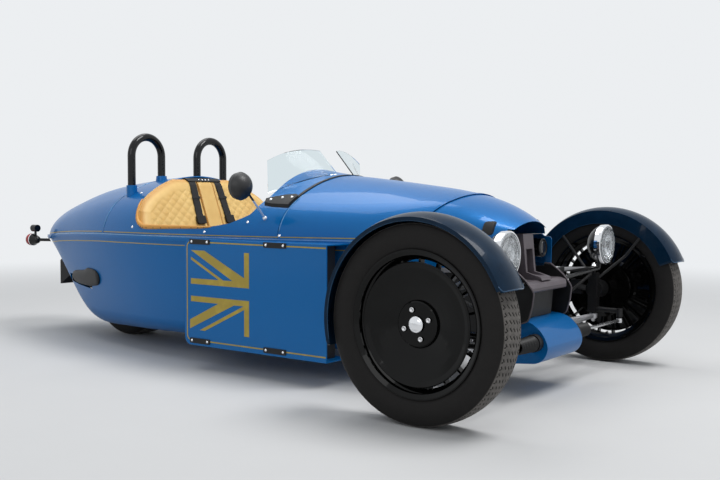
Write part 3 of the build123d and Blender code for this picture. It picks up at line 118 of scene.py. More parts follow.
class Net:
    """The node tree of one material."""

    def __init__(self, name: str) -> None:
        """Starts an empty tree.

        Args:
            name: the material's name.
        """
        self.material = bpy.data.materials.new(name)
        self.material.use_nodes = True
        self.tree = self.material.node_tree
        self.tree.nodes.clear()

    def node(self, kind: str, settings: dict | None = None, links: dict | None = None,
             pick: int | str = 0) -> Sock:
        """Adds a node.

        Args:
            kind: the node's type.
            settings: its options, set first.
            links: values or sockets for its inputs, by name or number.
            pick: which output to hand back.

        Returns:
            The chosen output.
        """
        made = self.tree.nodes.new(kind)
        for key, value in (settings or {}).items():
            setattr(made, key, value)
        for key, value in (links or {}).items():
            port = made.inputs[key]
            if isinstance(value, Sock):
                self.tree.links.new(value.port, port)
            else:
                port.default_value = value
        return Sock(self, made.outputs[pick])

    def math(self, operation: str, *values: "Sock | float") -> Sock:
        """Adds a Math node for one operation on the values."""
        return self.node("ShaderNodeMath", {"operation": operation}, dict(enumerate(values)))

    def xyz(self) -> tuple[Sock, Sock, Sock]:
        """The place on the piece, in metres, as three values."""
        split = self.node("ShaderNodeSeparateXYZ", links={0: self.spot()})
        return tuple(Sock(self, port) for port in split.port.node.outputs)

    def spot(self) -> Sock:
        """The place on the piece as a vector."""
        return self.node("ShaderNodeTexCoord", pick="Object")

    def shade(self) -> Sock:
        """The value that a worked-out piece carries at each of its points."""
        return self.node("ShaderNodeAttribute", {"attribute_type": "GEOMETRY", "attribute_name": "shade"},
                         pick="Fac")

    def step(self, value: Sock, low: float, high: float) -> Sock:
        """A smooth step: 0 under low, 1 over high."""
        return self.node("ShaderNodeMapRange", {"interpolation_type": "SMOOTHSTEP"},
                         {0: value, 1: low, 2: high, 3: 0.0, 4: 1.0})

    def past(self, value: Sock, edge: float, soft: float = 0.001) -> Sock:
        """0 before an edge and 1 past it, with a thin soft line between."""
        return self.step(value, edge - soft, edge + soft)

    def noise(self, scale: float, detail: float = 3.0, rough: float = 0.5) -> Sock:
        """Cloudy noise from 0 to 1, with the scale in features a metre."""
        return self.node("ShaderNodeTexNoise", {"normalize": True},
                         {"Vector": self.spot(), "Scale": scale, "Detail": detail, "Roughness": rough})

    def cells(self, scale: float, feature: str = "F1", pick: str = "Distance") -> Sock:
        """Voronoi cells: the distance to a cell's middle, or its colour."""
        return self.node("ShaderNodeTexVoronoi", {"feature": feature}, {"Vector": self.spot(), "Scale": scale}, pick)

    def blend(self, mask: "Sock | float", under: "Sock | Colour", over: "Sock | Colour") -> Sock:
        """The first colour where the mask is 0 and the second where it is 1."""
        full = [c if isinstance(c, Sock) else (*c, 1.0) for c in (under, over)]
        return self.node("ShaderNodeMix", {"data_type": "RGBA"}, {0: mask, 6: full[0], 7: full[1]}, 2)

    def bump(self, height: Sock, distance: float, strength: float = 1.0,
             normal: Sock | None = None) -> Sock:
        """A normal that shows a height.

        Args:
            height: the height, from 0 to 1.
            distance: what a height of 1 stands for, in metres.
            strength: how much of it shows.
            normal: another bump that lies under it.

        Returns:
            The normal.
        """
        links: dict = {"Height": height, "Distance": distance, "Strength": strength}
        if normal is not None:
            links["Normal"] = normal
        return self.node("ShaderNodeBump", links=links)

    def shader(self, **values: "Sock | float | Colour") -> Sock:
        """A Principled shader; underscores in the names stand for spaces.

        Args:
            values: numbers, colours or sockets for its inputs, by name.

        Returns:
            The shader.
        """
        links = {}
        for key, value in values.items():
            if isinstance(value, tuple) and len(value) == 3:
                value = (*value, 1.0)
            links[key.replace("_", " ")] = value
        return self.node("ShaderNodeBsdfPrincipled", links=links)

    def finish(self, surface: Sock) -> bpy.types.Material:
        """Joins a shader to the material's output.

        Args:
            surface: the shader.

        Returns:
            The finished material.
        """
        made = self.tree.nodes.new("ShaderNodeOutputMaterial")
        self.tree.links.new(surface.port, made.inputs["Surface"])
        return self.material


# The belt line in side view: (x, z) in millimetres, from the nose to the tail.
BELT_ROWS = ((45.0, 638.0), (-110.0, 629.0), (-250.0, 620.0), (-500.0, 608.0), (-1030.0, 602.0),
             (-1500.0, 600.0), (-1950.0, 597.0), (-2300.0, 593.0), (-2600.0, 583.0), (-2850.0, 570.0),
             (-3040.0, 556.0), (-3145.0, 550.0))


@dataclass(frozen=True)
class Paint:
    """Metallic car paint under a clear coat."""

    name: str
    colour: Colour
    metallic: float = 0.25
    rough: float = 0.34
    shine: float = 0.12
    coat: float = 0.38

    def build(self) -> bpy.types.Material:
        """Flakes vary the colour, a broad noise gives the faint orange peel of the clear coat.

        Returns:
            The material.
        """
        net = Net(self.name)
        flake = net.cells(2600.0, pick="Color")
        shade = net.node("ShaderNodeSeparateColor", links={0: flake})
        glint = shade * 0.5 + 0.75
        base = net.node("ShaderNodeVectorMath", {"operation": "SCALE"}, {0: self.colour, "Scale": glint})
        dust = net.noise(9.0, 4.0, 0.6)
        rough = self.rough + dust * 0.08
        peel = net.bump(net.noise(420.0, 1.0), 0.00002, 0.35)
        return net.finish(net.shader(Base_Color=base, Metallic=self.metallic, Roughness=rough, Normal=peel,
                                     Specular_IOR_Level=self.shine, Coat_Weight=self.coat, Coat_Roughness=0.03,
                                     Coat_IOR=1.42))


@dataclass(frozen=True)
class Plastic:
    """Moulded plastic, or satin paint, with a fine grain and a little dust."""

    name: str
    colour: Colour
    rough: float = 0.5
    grain: float = 0.00006
    grain_scale: float = 1500.0
    coat: float = 0.0
    shine: float = 0.3

    def build(self) -> bpy.types.Material:
        """A noise for the grain and a broad one for dust and wear.

        Returns:
            The material.
        """
        net = Net(self.name)
        dust = net.noise(14.0, 5.0, 0.6)
        lighter = tuple(c * 1.3 + 0.001 for c in self.colour)
        base = net.blend(net.step(dust, 0.42, 0.75), self.colour, lighter)
        rough = self.rough - 0.06 + dust * 0.16
        grain = net.bump(net.noise(self.grain_scale, 2.0, 0.6), self.grain, 0.5)
        return net.finish(net.shader(Base_Color=base, Roughness=rough, Normal=grain, Specular_IOR_Level=self.shine,
                                     Coat_Weight=self.coat, Coat_Roughness=0.04))


@dataclass(frozen=True)
class Metal:
    """Bare metal: cast, machined, drawn or plated."""

    name: str
    colour: Colour
    rough: float = 0.3
    cast: float = 0.0

    def build(self) -> bpy.types.Material:
        """A small noise varies the roughness, a broad one stains the colour, and a fine one roughens the surface.

        Returns:
            The material.
        """
        net = Net(self.name)
        streak = net.noise(220.0, 4.0, 0.6)
        stain = net.noise(18.0, 5.0, 0.65)
        base = net.blend(net.step(stain, 0.45, 0.8) * 0.5, self.colour, tuple(c * 0.72 for c in self.colour))
        rough = self.rough - 0.05 + streak * 0.1 + stain * 0.05
        height = net.bump(net.noise(900.0, 3.0, 0.7), 0.00003 + self.cast, 0.25 + 200.0 * self.cast)
        return net.finish(net.shader(Base_Color=base, Metallic=1.0, Roughness=rough, Normal=height))


@dataclass(frozen=True)
class Rubber:
    """Tyre rubber: dark, with dust in the tread and fine rings moulded in the wall."""

    name: str
    colour: Colour = (0.0075, 0.007, 0.007)
    dusty: Colour = (0.150, 0.139, 0.129)
    tread_r: float = 0.345
    centre: tuple[float, float] = (0.0, 0.362)

    def build(self) -> bpy.types.Material:
        """Rings are waves of the distance from the axle; dust lies on the tread, and the slits are left dark as
        painted shade.

        Returns:
            The material.
        """
        net = Net(self.name)
        x, _, z = net.xyz()
        dx, dz = x - self.centre[0], z - self.centre[1]
        radius = net.math("SQRT", dx * dx + dz * dz)
        ring = net.math("SINE", radius * 2600.0)
        on_tread = net.step(radius, self.tread_r - 0.001, self.tread_r + 0.003)
        dust = net.noise(40.0, 6.0, 0.7)
        # Dust on the tread, cut away where the slits are deep so that they stay dark: painted shade.
        dust_and_slit_shade = on_tread * (1.0 - net.step(net.shade(), 0.15, 0.6)) * (0.55 + net.step(dust, 0.3, 0.7) * 0.45)
        base = net.blend(dust_and_slit_shade + dust * 0.08, self.colour, self.dusty)
        fine = net.bump(net.noise(1300.0, 3.0, 0.7), 0.00008, 0.5)
        ringed = net.bump(ring * (1.0 - on_tread), 0.00012, 0.3, fine)
        return net.finish(net.shader(Base_Color=base, Roughness=0.6 + dust * 0.2, Normal=ringed,
                                     Specular_IOR_Level=0.17))


@dataclass(frozen=True)
class Leather:
    """Tanned hide with pores, creases and a soft sheen."""

    name: str
    colour: Colour
    rough: float = 0.42
    deepen: float = 0.72
    shaded_edge: bool = False

    def build(self) -> bpy.types.Material:
        """Cells make the pebbled grain, a broad noise the colour's drift, and the piece's shade attribute a painted
        shade along its rolled edge.

        Returns:
            The material.
        """
        net = Net(self.name)
        drift = net.noise(7.0, 3.0, 0.55)
        deep = self.tinted((1.1 * self.deepen, 0.95 * self.deepen, 0.75 * self.deepen))
        base = net.blend(net.step(drift, 0.3, 0.8) * 0.6, self.colour, deep)
        if self.shaded_edge:
            # Painted shade: near the pad's outline the leather is darkened towards orange brown.
            edge_shading = 1.0 - net.step(net.shade() + drift * 14.0, 8.0, 34.0)
            base = net.blend(edge_shading * 0.8, base, self.tinted((0.62, 0.42, 0.2)))
        pebble = net.cells(520.0, "DISTANCE_TO_EDGE")
        fine = net.noise(1500.0, 2.0, 0.6)
        crease = net.noise(60.0, 6.0, 0.7)
        grain = net.step(pebble, 0.0, 0.12) * 0.7 + fine * 0.3 + crease * 0.5
        return net.finish(net.shader(Base_Color=base, Roughness=self.rough + drift * 0.12,
                                     Normal=net.bump(grain, 0.00018, 0.4), Sheen_Weight=0.08, Sheen_Roughness=0.4))

    def tinted(self, shares: Colour) -> Colour:
        """The hide's colour with each channel at a share of itself."""
        return tuple(channel * share for channel, share in zip(self.colour, shares))


@dataclass(frozen=True)
class StalkFinish:
    """Black plastic above a height and plated steel below it."""

    name: str
    split_z: float

    def build(self) -> bpy.types.Material:
        """The height alone tells the two apart, with a thin soft line between.

        Returns:
            The material.
        """
        net = Net(self.name)
        steel = 1.0 - net.past(net.xyz()[2], self.split_z)
        dust = net.noise(30.0, 4.0, 0.6)
        base = net.blend(steel, (0.012, 0.012, 0.013), (0.75, 0.76, 0.78))
        rough = 0.4 - steel * 0.18 + dust * 0.08
        return net.finish(net.shader(Base_Color=base, Metallic=steel * 0.6, Roughness=rough))


@dataclass(frozen=True)
class ArmHighlightFinish:
    """Satin black, with a band of bright metal on the top front tube that is a painted highlight."""

    name: str
    front_x: float
    low_z: float

    def build(self) -> bpy.types.Material:
        """A painted highlight: bright metal in front of a place along the car and above a height.

        Returns:
            The material.
        """
        net = Net(self.name)
        x, _, z = net.xyz()
        # steel marks the painted highlight on the top tube, not plating.
        steel = net.past(x, self.front_x) * net.past(z, self.low_z)
        dust = net.noise(24.0, 5.0, 0.6)
        base = net.blend(steel, (0.008, 0.008, 0.0085), (0.62, 0.62, 0.64))
        grain = net.bump(net.noise(1300.0, 2.0, 0.6), 0.00005, 0.4)
        rough = 0.42 - steel * 0.14 + dust * 0.12
        return net.finish(net.shader(Base_Color=base, Metallic=steel * 0.7, Roughness=rough, Normal=grain,
                                     Specular_IOR_Level=0.3))


@dataclass(frozen=True)
class Webbing:
    """Woven belt webbing, in a twill that follows the strap."""

    name: str
    colour: Colour = (0.007, 0.007, 0.008)

    def build(self) -> bpy.types.Material:
        """Two sine waves at the threads' pitch cross at an angle.

        Returns:
            The material.
        """
        net = Net(self.name)
        _, y, z = net.xyz()
        warp = net.math("SINE", (y + z * 0.35) * 2400.0)
        weft = net.math("SINE", (z * 0.9 - y * 0.5) * 2000.0)
        weave = warp * weft
        base = net.blend(net.step(weave, -0.4, 0.8), self.colour, tuple(c * 2.6 for c in self.colour))
        return net.finish(net.shader(Base_Color=base, Roughness=0.6, Normal=net.bump(weave, 0.00025, 0.6),
                                     Specular_IOR_Level=0.3))


@dataclass(frozen=True)
class Glass:
    """Clear or tinted glass or acrylic."""

    name: str
    colour: Colour = (0.97, 0.99, 1.0)
    rough: float = 0.02
    ior: float = 1.49
    flutes: float = 0.0

    def build(self) -> bpy.types.Material:
        """Full transmission, with moulded flutes across a lens where it has them.

        Returns:
            The material.
        """
        net = Net(self.name)
        smear = net.noise(25.0, 4.0, 0.6)
        links: dict = {"Base_Color": self.colour, "Roughness": self.rough + net.step(smear, 0.5, 0.9) * 0.03,
                       "Transmission_Weight": 1.0, "IOR": self.ior}
        if self.flutes:
            wave = net.math("SINE", net.xyz()[1] * (2.0 * math.pi / self.flutes))
            links["Normal"] = net.bump(abs(wave), 0.0012, 0.6)
        return net.finish(net.shader(**links))


BODY_PAINT = Paint("royal_blue_paint", (0.0005, 0.128, 0.385))
# A lighter blue for thin beads on rolled edges: painted highlights where the sky would catch them.
BLUE_HIGHLIGHT = Plastic("royal_blue_edge", (0.10, 0.30, 0.56), rough=0.25, grain=0.00001, coat=0.6)
GLOSS_BLACK = Plastic("gloss_black_paint", (0.003, 0.003, 0.0035), rough=0.25, grain=0.00001, coat=0.5, shine=0.1)
DISC_BLACK = Plastic("wheel_disc_black", (0.0016, 0.0016, 0.0014), rough=0.14, grain=0.00001, coat=0.3, shine=0.05)
GUARD_BLUE = Plastic("dark_navy_paint", (0.002, 0.015, 0.036), rough=0.27, grain=0.00001, coat=0.16, shine=0.05)
# A lighter navy for the mudguards' rolled rims: a painted highlight along their edges.
GUARD_HIGHLIGHT = Plastic("dark_navy_edge", (0.012, 0.055, 0.12), rough=0.22, grain=0.00001, coat=0.5, shine=0.1)
SATIN_BLACK = Plastic("satin_black_paint", (0.007, 0.007, 0.0075), rough=0.42)
BLACK_PLASTIC = Plastic("black_moulded_plastic", (0.008, 0.008, 0.0085), rough=0.48)
GREY_PLASTIC = Plastic("grey_moulded_plastic", (0.10, 0.085, 0.095), rough=0.42)
BRIGHT_STEEL = Metal("bright_steel", (0.62, 0.62, 0.63), 0.24)
CHROME = Metal("chrome_plate", (0.82, 0.83, 0.85), 0.07)
ALLOY = Metal("cast_alloy", (0.5, 0.5, 0.52), 0.45, cast=0.0004)
COOLER = Metal("black_cooler_fins", (0.05, 0.05, 0.052), 0.5)
TYRE_RUBBER = Rubber("tyre_rubber")
MIRROR_GLASS = Metal("mirror_glass", (0.9, 0.91, 0.92), 0.05)
TAN = Leather("tan_leather", (0.90, 0.60, 0.21))
# A copy of the tan leather that paints a darker, more orange shade along the pads' rolled edges.
EDGE_SHADED_TAN = Leather("tan_leather_worn", (0.90, 0.60, 0.21), shaded_edge=True)
# A darker, more orange copy of the tan leather for the rim rolls: painted shade.
SHADED_ROLL_TAN = Leather("tan_leather_roll", (0.66, 0.31, 0.05))
PIPING = Leather("tan_piping", (0.62, 0.33, 0.07))
STRIPE = Plastic("gold_lining", (0.40, 0.29, 0.035), rough=0.35, grain=0.00001, coat=0.3)
DARK_NAIL = Metal("dark_nails", (0.12, 0.09, 0.07), 0.35)
DIAL_FACE = Plastic("dial_face", (0.75, 0.72, 0.62), rough=0.4)
PLATE_WHITE = Plastic("blank_plate", (0.72, 0.72, 0.70), rough=0.35)
HELM_LEATHER = Leather("black_leather", (0.016, 0.015, 0.015), 0.4)
BELT_WEB = Webbing("belt_webbing")
LENS_GLASS = Glass("lamp_glass", flutes=0.009)
SCREEN_GLASS = Glass("screen_acrylic", (0.80, 0.88, 0.90), ior=1.12)
SMOKED_GLASS = Plastic("smoked_glass", (0.015, 0.015, 0.017), rough=0.15, grain=0.00001, coat=0.6, shine=0.2)
RED_LENS = Plastic("red_lens", (0.30, 0.004, 0.006), rough=0.15, grain=0.00001, coat=0.7)
MIRROR_STALKS = StalkFinish("mirror_stalks", 0.785)
HIGHLIT_WISHBONES = ArmHighlightFinish("upper_arm_black", AXLE_X - 0.003, 0.478)

# What each node is made of; a name that ends in a line stands for the nodes of both sides.
NODE_FINISH = {node: finish for finish, nodes in (
    (BODY_PAINT, ("tub", "nose_cowl", "bonnet", "cockpit_surround", "boot_lid", "belt_mouldings", "side_blades",
                  "front_bib")),
    (GUARD_BLUE, ("mudguard_",)),
    (GLOSS_BLACK, ("headlamps", "nose_lamps", "roll_hoops", "rear_lamps", "rim_rear")),
    (DISC_BLACK, ("rim_", "wheel_cover_")),
    (SATIN_BLACK, ("bulkheads", "chassis_plates", "dashboard", "exhaust", "steering_column", "swing_arm",
                   "boot_hinges", "knuckle_")),
    (BLACK_PLASTIC, ("rack_housing", "crash_box", "indicators", "scuttle_strip", "blade_mounts", "plate_bracket")),
    (GREY_PLASTIC, ("front_frame", "front_cover")),
    (BRIGHT_STEEL, ("tie_rods", "rear_axle")),
    (ALLOY, ("engine_block", "lower_arms")),
    (CHROME, ("headlamp_rims",)),
    (COOLER, ("radiators",)),
    (HIGHLIT_WISHBONES, ("upper_arms",)),
    (MIRROR_STALKS, ("mirrors",)),
    (TAN, ("coaming_rolls", "seat_backs", "seat_bases", "tunnel", "centre_pad")),
    (HELM_LEATHER, ("steering_wheel",)),
    (BELT_WEB, ("belts",)),
    (TYRE_RUBBER, ("tyre_", "tyre_rear")),
    (LENS_GLASS, ("headlamp_lenses",)),
    (SCREEN_GLASS, ("screens",)),
    (RED_LENS, ("rear_lamp_lenses",)),
) for node in nodes}


def grid_faces(rows: int, cols: int, wrap_rows: bool = False, wrap_cols: bool = False) -> list:
    """Quads of a grid of points that runs row by row.

    Args:
        rows, cols: the grid's size.
        wrap_rows, wrap_cols: True where the last line joins the first.

    Returns:
        The faces, as lists of point numbers.
    """
    r = np.arange(rows if wrap_rows else rows - 1)[:, None]
    c = np.arange(cols if wrap_cols else cols - 1)[None, :]
    r_next, c_next = (r + 1) % rows, (c + 1) % cols
    quads = np.stack(np.broadcast_arrays(r * cols + c, r * cols + c_next, r_next * cols + c_next,
                                         r_next * cols + c), axis=-1)
    return quads.reshape(-1, 4).tolist()


def full_turn(count: int) -> np.ndarray:
    """Angles evenly round a circle, from 0 and short of the start again."""
    return np.linspace(0.0, 2.0 * math.pi, count, endpoint=False)


def unit(vectors: np.ndarray) -> np.ndarray:
    """The vectors at length 1."""
    return vectors / np.linalg.norm(vectors, axis=-1, keepdims=True)


def evened(rows: np.ndarray) -> np.ndarray:
    """The rows, each but the two ends averaged with its neighbours."""
    return np.concatenate([rows[:1], (rows[:-2] + rows[1:-1] + rows[2:]) / 3.0, rows[-1:]])


def joined(*shapes: Shape) -> Shape:
    """Several shapes as one list of points and one of faces.

    Args:
        shapes: the points and faces of each.

    Returns:
        The points and faces of all.
    """
    points, faces, start = [], [], 0
    for some, quads in shapes:
        points.append(some.reshape(-1, 3))
        faces += [[i + start for i in face] for face in quads]
        start += len(points[-1])
    return np.concatenate(points), faces


def turned(profile: Sequence[tuple[float, float]], centre: np.ndarray, axle: Sequence[float],
           turns: int = 64, closed: bool = False) -> Shape:
    """A profile turned about an axle: each point is a distance along the axle and a radius.

    Args:
        profile: (along, radius) in millimetres; a radius of 0 closes the end.
        centre: the axle's zero point, in metres.
        axle: the axle's direction.
        turns: how many steps round.
        closed: True where the profile is a closed ring.

    Returns:
        The points and faces.
    """
    line = np.array(profile, float) * MM
    axis = unit(np.array(axle, float))
    side = unit(np.cross(axis, UP if abs(axis[2]) < 0.9 else AHEAD))
    turn = full_turn(turns)[None, :, None]
    ring = np.cos(turn) * side + np.sin(turn) * np.cross(axis, side)
    points = centre + line[:, None, :1] * axis + line[:, None, 1:] * ring
    return points.reshape(-1, 3), grid_faces(len(line), turns, closed, True)


def carried(path: np.ndarray, profile: Sequence[tuple[float, float]], normal: np.ndarray,
            ring: bool = False) -> Shape:
    """A closed profile carried along a path, square to it.

    Args:
        path: the points it follows, in metres.
        profile: (across, out) in millimetres, in order round the section.
        normal: the direction called out, one for all points or one each.
        ring: True where the path closes on itself.

    Returns:
        The points and faces, with flat ends where the path is open.
    """
    ahead = unit(np.roll(path, -1, 0) - np.roll(path, 1, 0) if ring else np.gradient(path, axis=0))
    across = unit(np.cross(np.broadcast_to(normal, path.shape), ahead))
    out = np.cross(ahead, across)
    section = np.array(profile, float) * MM
    points = path[:, None] + section[None, :, :1] * across[:, None] + section[None, :, 1:] * out[:, None]
    faces = grid_faces(len(path), len(section), ring, True)
    if not ring:
        count, last = len(section), (len(path) - 1) * len(section)
        faces += [list(range(count))[::-1], [last + i for i in range(count)]]
    return points.reshape(-1, 3), faces


def pad(front: np.ndarray, rear: np.ndarray) -> Shape:
    """A closed skin: a grid in front, one behind, and a strip that joins their edges.

    Args:
        front, rear: the two grids of points, row by row.

    Returns:
        The points and faces.
    """
    rows, cols = front.shape[:2]
    count = rows * cols
    quads = np.array(grid_faces(rows, cols))
    rim = np.concatenate([np.arange(cols), np.arange(2, rows + 1) * cols - 1,
                          (rows - 1) * cols + np.arange(cols - 2, -1, -1), np.arange(rows - 2, 0, -1) * cols])
    after = np.roll(rim, -1)
    skirt = np.stack([rim, after, after + count, rim + count], axis=-1)
    faces = np.concatenate([quads, quads[:, ::-1] + count, skirt])
    return np.concatenate([front.reshape(-1, 3), rear.reshape(-1, 3)]), faces.tolist()


def rolled_edge(distance: np.ndarray, fall: float, reach: float) -> np.ndarray:
    """How far a skin falls back towards its edge: a quarter of an ellipse over the last stretch."""
    near = np.clip(1.0 - distance / reach, 0.0, 1.0)
    return fall * (1.0 - np.sqrt(1.0 - near ** 2))


def quilting(a: np.ndarray, b: np.ndarray) -> np.ndarray:
    """Diamond quilting, 0 at its seams and 1 between them: the root of two sines' product."""
    return np.abs(np.sin(a) * np.sin(b)) ** 0.5


def squarish(half_across: float, half_up: float, power: float, count: int = 48) -> tuple[np.ndarray, np.ndarray]:
    """A rectangle with round corners, as the two coordinates of its outline.

    Args:
        half_across, half_up: half its sizes.
        power: 1 for an ellipse, and less for tighter corners.
        count: how many points it is drawn with.

    Returns:
        The two coordinates of its points.
    """
    turn = full_turn(count)
    return (half_across * np.sign(np.cos(turn)) * np.abs(np.cos(turn)) ** power,
            half_up * np.sign(np.sin(turn)) * np.abs(np.sin(turn)) ** power)


def circle(radius: float, count: int = 10) -> list:
    """A round section, in millimetres."""
    turn = full_turn(count)
    return list(zip(radius * np.cos(turn), radius * np.sin(turn)))


def flat(half: float, low: float, high: float) -> list:
    """A flat section: half its width, and how far out its two faces lie, in millimetres."""
    return [(-half, low), (half, low), (half, high), (-half, high)]


def from_table(values: np.ndarray | float, table: Sequence[tuple[float, float]]) -> np.ndarray:
    """Reads some values off the straight lines through a table of pairs."""
    return np.interp(values, *zip(*table))


def side_view(points: Sequence[tuple[float, float]], y: float) -> np.ndarray:
    """Points given as (x, z), in one plane along the car."""
    x, z = np.array(points, float).T
    return place(x, y, z)


def rising(foot: float, top: float, count: int) -> np.ndarray:
    """Heights that crowd together towards the top, by a quarter of a sine wave."""
    return foot + (top - foot) * np.sin(np.linspace(0.0, math.pi / 2, count))


def mirrored(profile: Sequence[tuple[float, float]], spot: Sequence[float], axle: Sequence[float],
             turns: int = 48, closed: bool = False) -> Shape:
    """A profile turned at a spot, and again at the same spot on the other side of the car.

    Args:
        profile, axle, turns, closed: as for a turned shape.
        spot: the axle's zero point on the left side, in millimetres.

    Returns:
        The points and faces of both.
    """
    return joined(*(turned(profile, place(spot[0], side * spot[1], spot[2]), axle, turns, closed)
                    for _, side in SIDES))


def slab(outline: np.ndarray, out: Sequence[float], depth: float) -> Shape:
    """A flat outline given thickness along a direction, with a face at each end.

    Args:
        outline: its points in order, in metres.
        out: the direction.
        depth: the thickness, in millimetres.

    Returns:
        The points and faces.
    """
    count = len(outline)
    points = np.concatenate([outline, outline + np.array(out, float) * depth * MM])
    faces = [[i, (i + 1) % count, (i + 1) % count + count, i + count] for i in range(count)]
    return points, faces + [list(range(count))[::-1], list(range(count, 2 * count))]


def smooth_path(points: Sequence[Sequence[float]], steps: int) -> np.ndarray:
    """A smooth line through some points: cubic runs that keep their neighbours' slopes.

    Args:
        points: what it runs through.
        steps: how many points it is drawn with.

    Returns:
        Its points.
    """
    knots = np.array(points, float)
    slope = np.gradient(knots, axis=0)
    spot = np.linspace(0.0, len(knots) - 1.0, steps)
    index = np.minimum(spot.astype(int), len(knots) - 2)
    t = (spot - index)[:, None]
    a, b, da, db = knots[index], knots[index + 1], slope[index], slope[index + 1]
    return a * (1 + 2 * t) * (1 - t) ** 2 + da * t * (1 - t) ** 2 + b * t * t * (3 - 2 * t) + db * t * t * (t - 1)


@dataclass
class Workshop:
    """Turns worked-out shapes into pieces that ride on a body of the frame."""

    made: dict = field(default_factory=dict)
    trees: dict = field(default_factory=dict)

    def material(self, finish: object) -> bpy.types.Material:
        """The finish's material, built once.

        Args:
            finish: the finish.

        Returns:
            Its material.
        """
        if finish not in self.made:
            self.made[finish] = finish.build()
        return self.made[finish]

    def piece(self, name: str, shape: Shape, finish: object, body: str = "car",
              smooth: bool = True, bevel_mm: float = 0.0, replaces: Sequence[str] = (),
              shade: np.ndarray | None = None) -> bpy.types.Object:
        """Makes a piece from a shape.

        Args:
            name: the piece's name.
            shape: its points and faces.
            finish: what it is made of.
            body: the body it rides on.
            smooth: False for flat facets.
            bevel_mm: width of a bevel on its sharp edges.
            replaces: CAD nodes that it stands for.
            shade: a value for each point, which its finish may read.

        Returns:
            The new object.
        """
        points, faces = shape
        mesh = bpy.data.meshes.new(name)
        mesh.from_pydata(points.tolist(), [], faces)
        if shade is not None:
            values = mesh.attributes.new("shade", "FLOAT", "POINT").data
            values.foreach_set("value", shade.ravel().astype(np.float32))
        work = bmesh.new()
        work.from_mesh(mesh)
        bmesh.ops.remove_doubles(work, verts=work.verts, dist=2e-6)
        bmesh.ops.recalc_face_normals(work, faces=work.faces)
        work.to_mesh(mesh)
        work.free()
        mesh.polygons.foreach_set("use_smooth", [smooth] * len(mesh.polygons))
        made = bpy.data.objects.new(name, mesh)
        bpy.context.scene.collection.objects.link(made)
        mesh.materials.append(self.material(finish))
        if bevel_mm:
            bevel = made.modifiers.new("edge", "BEVEL")
            bevel.width, bevel.segments, bevel.limit_method = bevel_mm * MM, 2, "ANGLE"
            bevel.angle_limit = math.radians(35.0)
            bevel.harden_normals = smooth
        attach(made, body)
        if replaces:
            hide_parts(*replaces)
        LOG.info("piece %s on %s: %d faces", name, body, len(mesh.polygons))
        return made

    def tree(self, *nodes: str) -> BVHTree:
        """A search tree over the triangles of some CAD nodes.

        Args:
            nodes: the nodes' names.

        Returns:
            The tree, built once.
        """
        if nodes not in self.trees:
            points, faces, start = [], [], 0
            for node in nodes:
                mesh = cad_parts[node].data
                points += [v.co.copy() for v in mesh.vertices]
                faces += [[i + start for i in face.vertices] for face in mesh.polygons]
                start = len(points)
            self.trees[nodes] = BVHTree.FromPolygons(points, faces)
        return self.trees[nodes]

    def hit(self, nodes: Sequence[str], start: np.ndarray, way: Sequence[float]) -> tuple:
        """Where a ray from a point first meets some nodes, and the surface's direction there."""
        spot, normal, _, _ = self.tree(*nodes).ray_cast(Vector(start), Vector(way).normalized())
        return (None, None) if spot is None else (np.array(spot), np.array(normal))


SHOP = Workshop()


def arc(first: Sequence[float], middle: Sequence[float], last: Sequence[float], count: int) -> np.ndarray:
    """Points on the circle through three points in a plane, evenly by angle.

    Args:
        first, middle, last: the three points.
        count: how many points it is drawn with.

    Returns:
        Its points, from the first to the last.
    """
    a, b, c = (np.array(p, float) for p in (first, middle, last))
    centre = np.linalg.solve(2.0 * np.array([b - a, c - a]), [b @ b - a @ a, c @ c - a @ a])
    turns = np.unwrap([math.atan2(p[1] - centre[1], p[0] - centre[0]) for p in (a, b, c)])
    turn = np.linspace(turns[0], turns[2], count)
    return centre + np.linalg.norm(a - centre) * np.stack([np.cos(turn), np.sin(turn)], axis=-1)


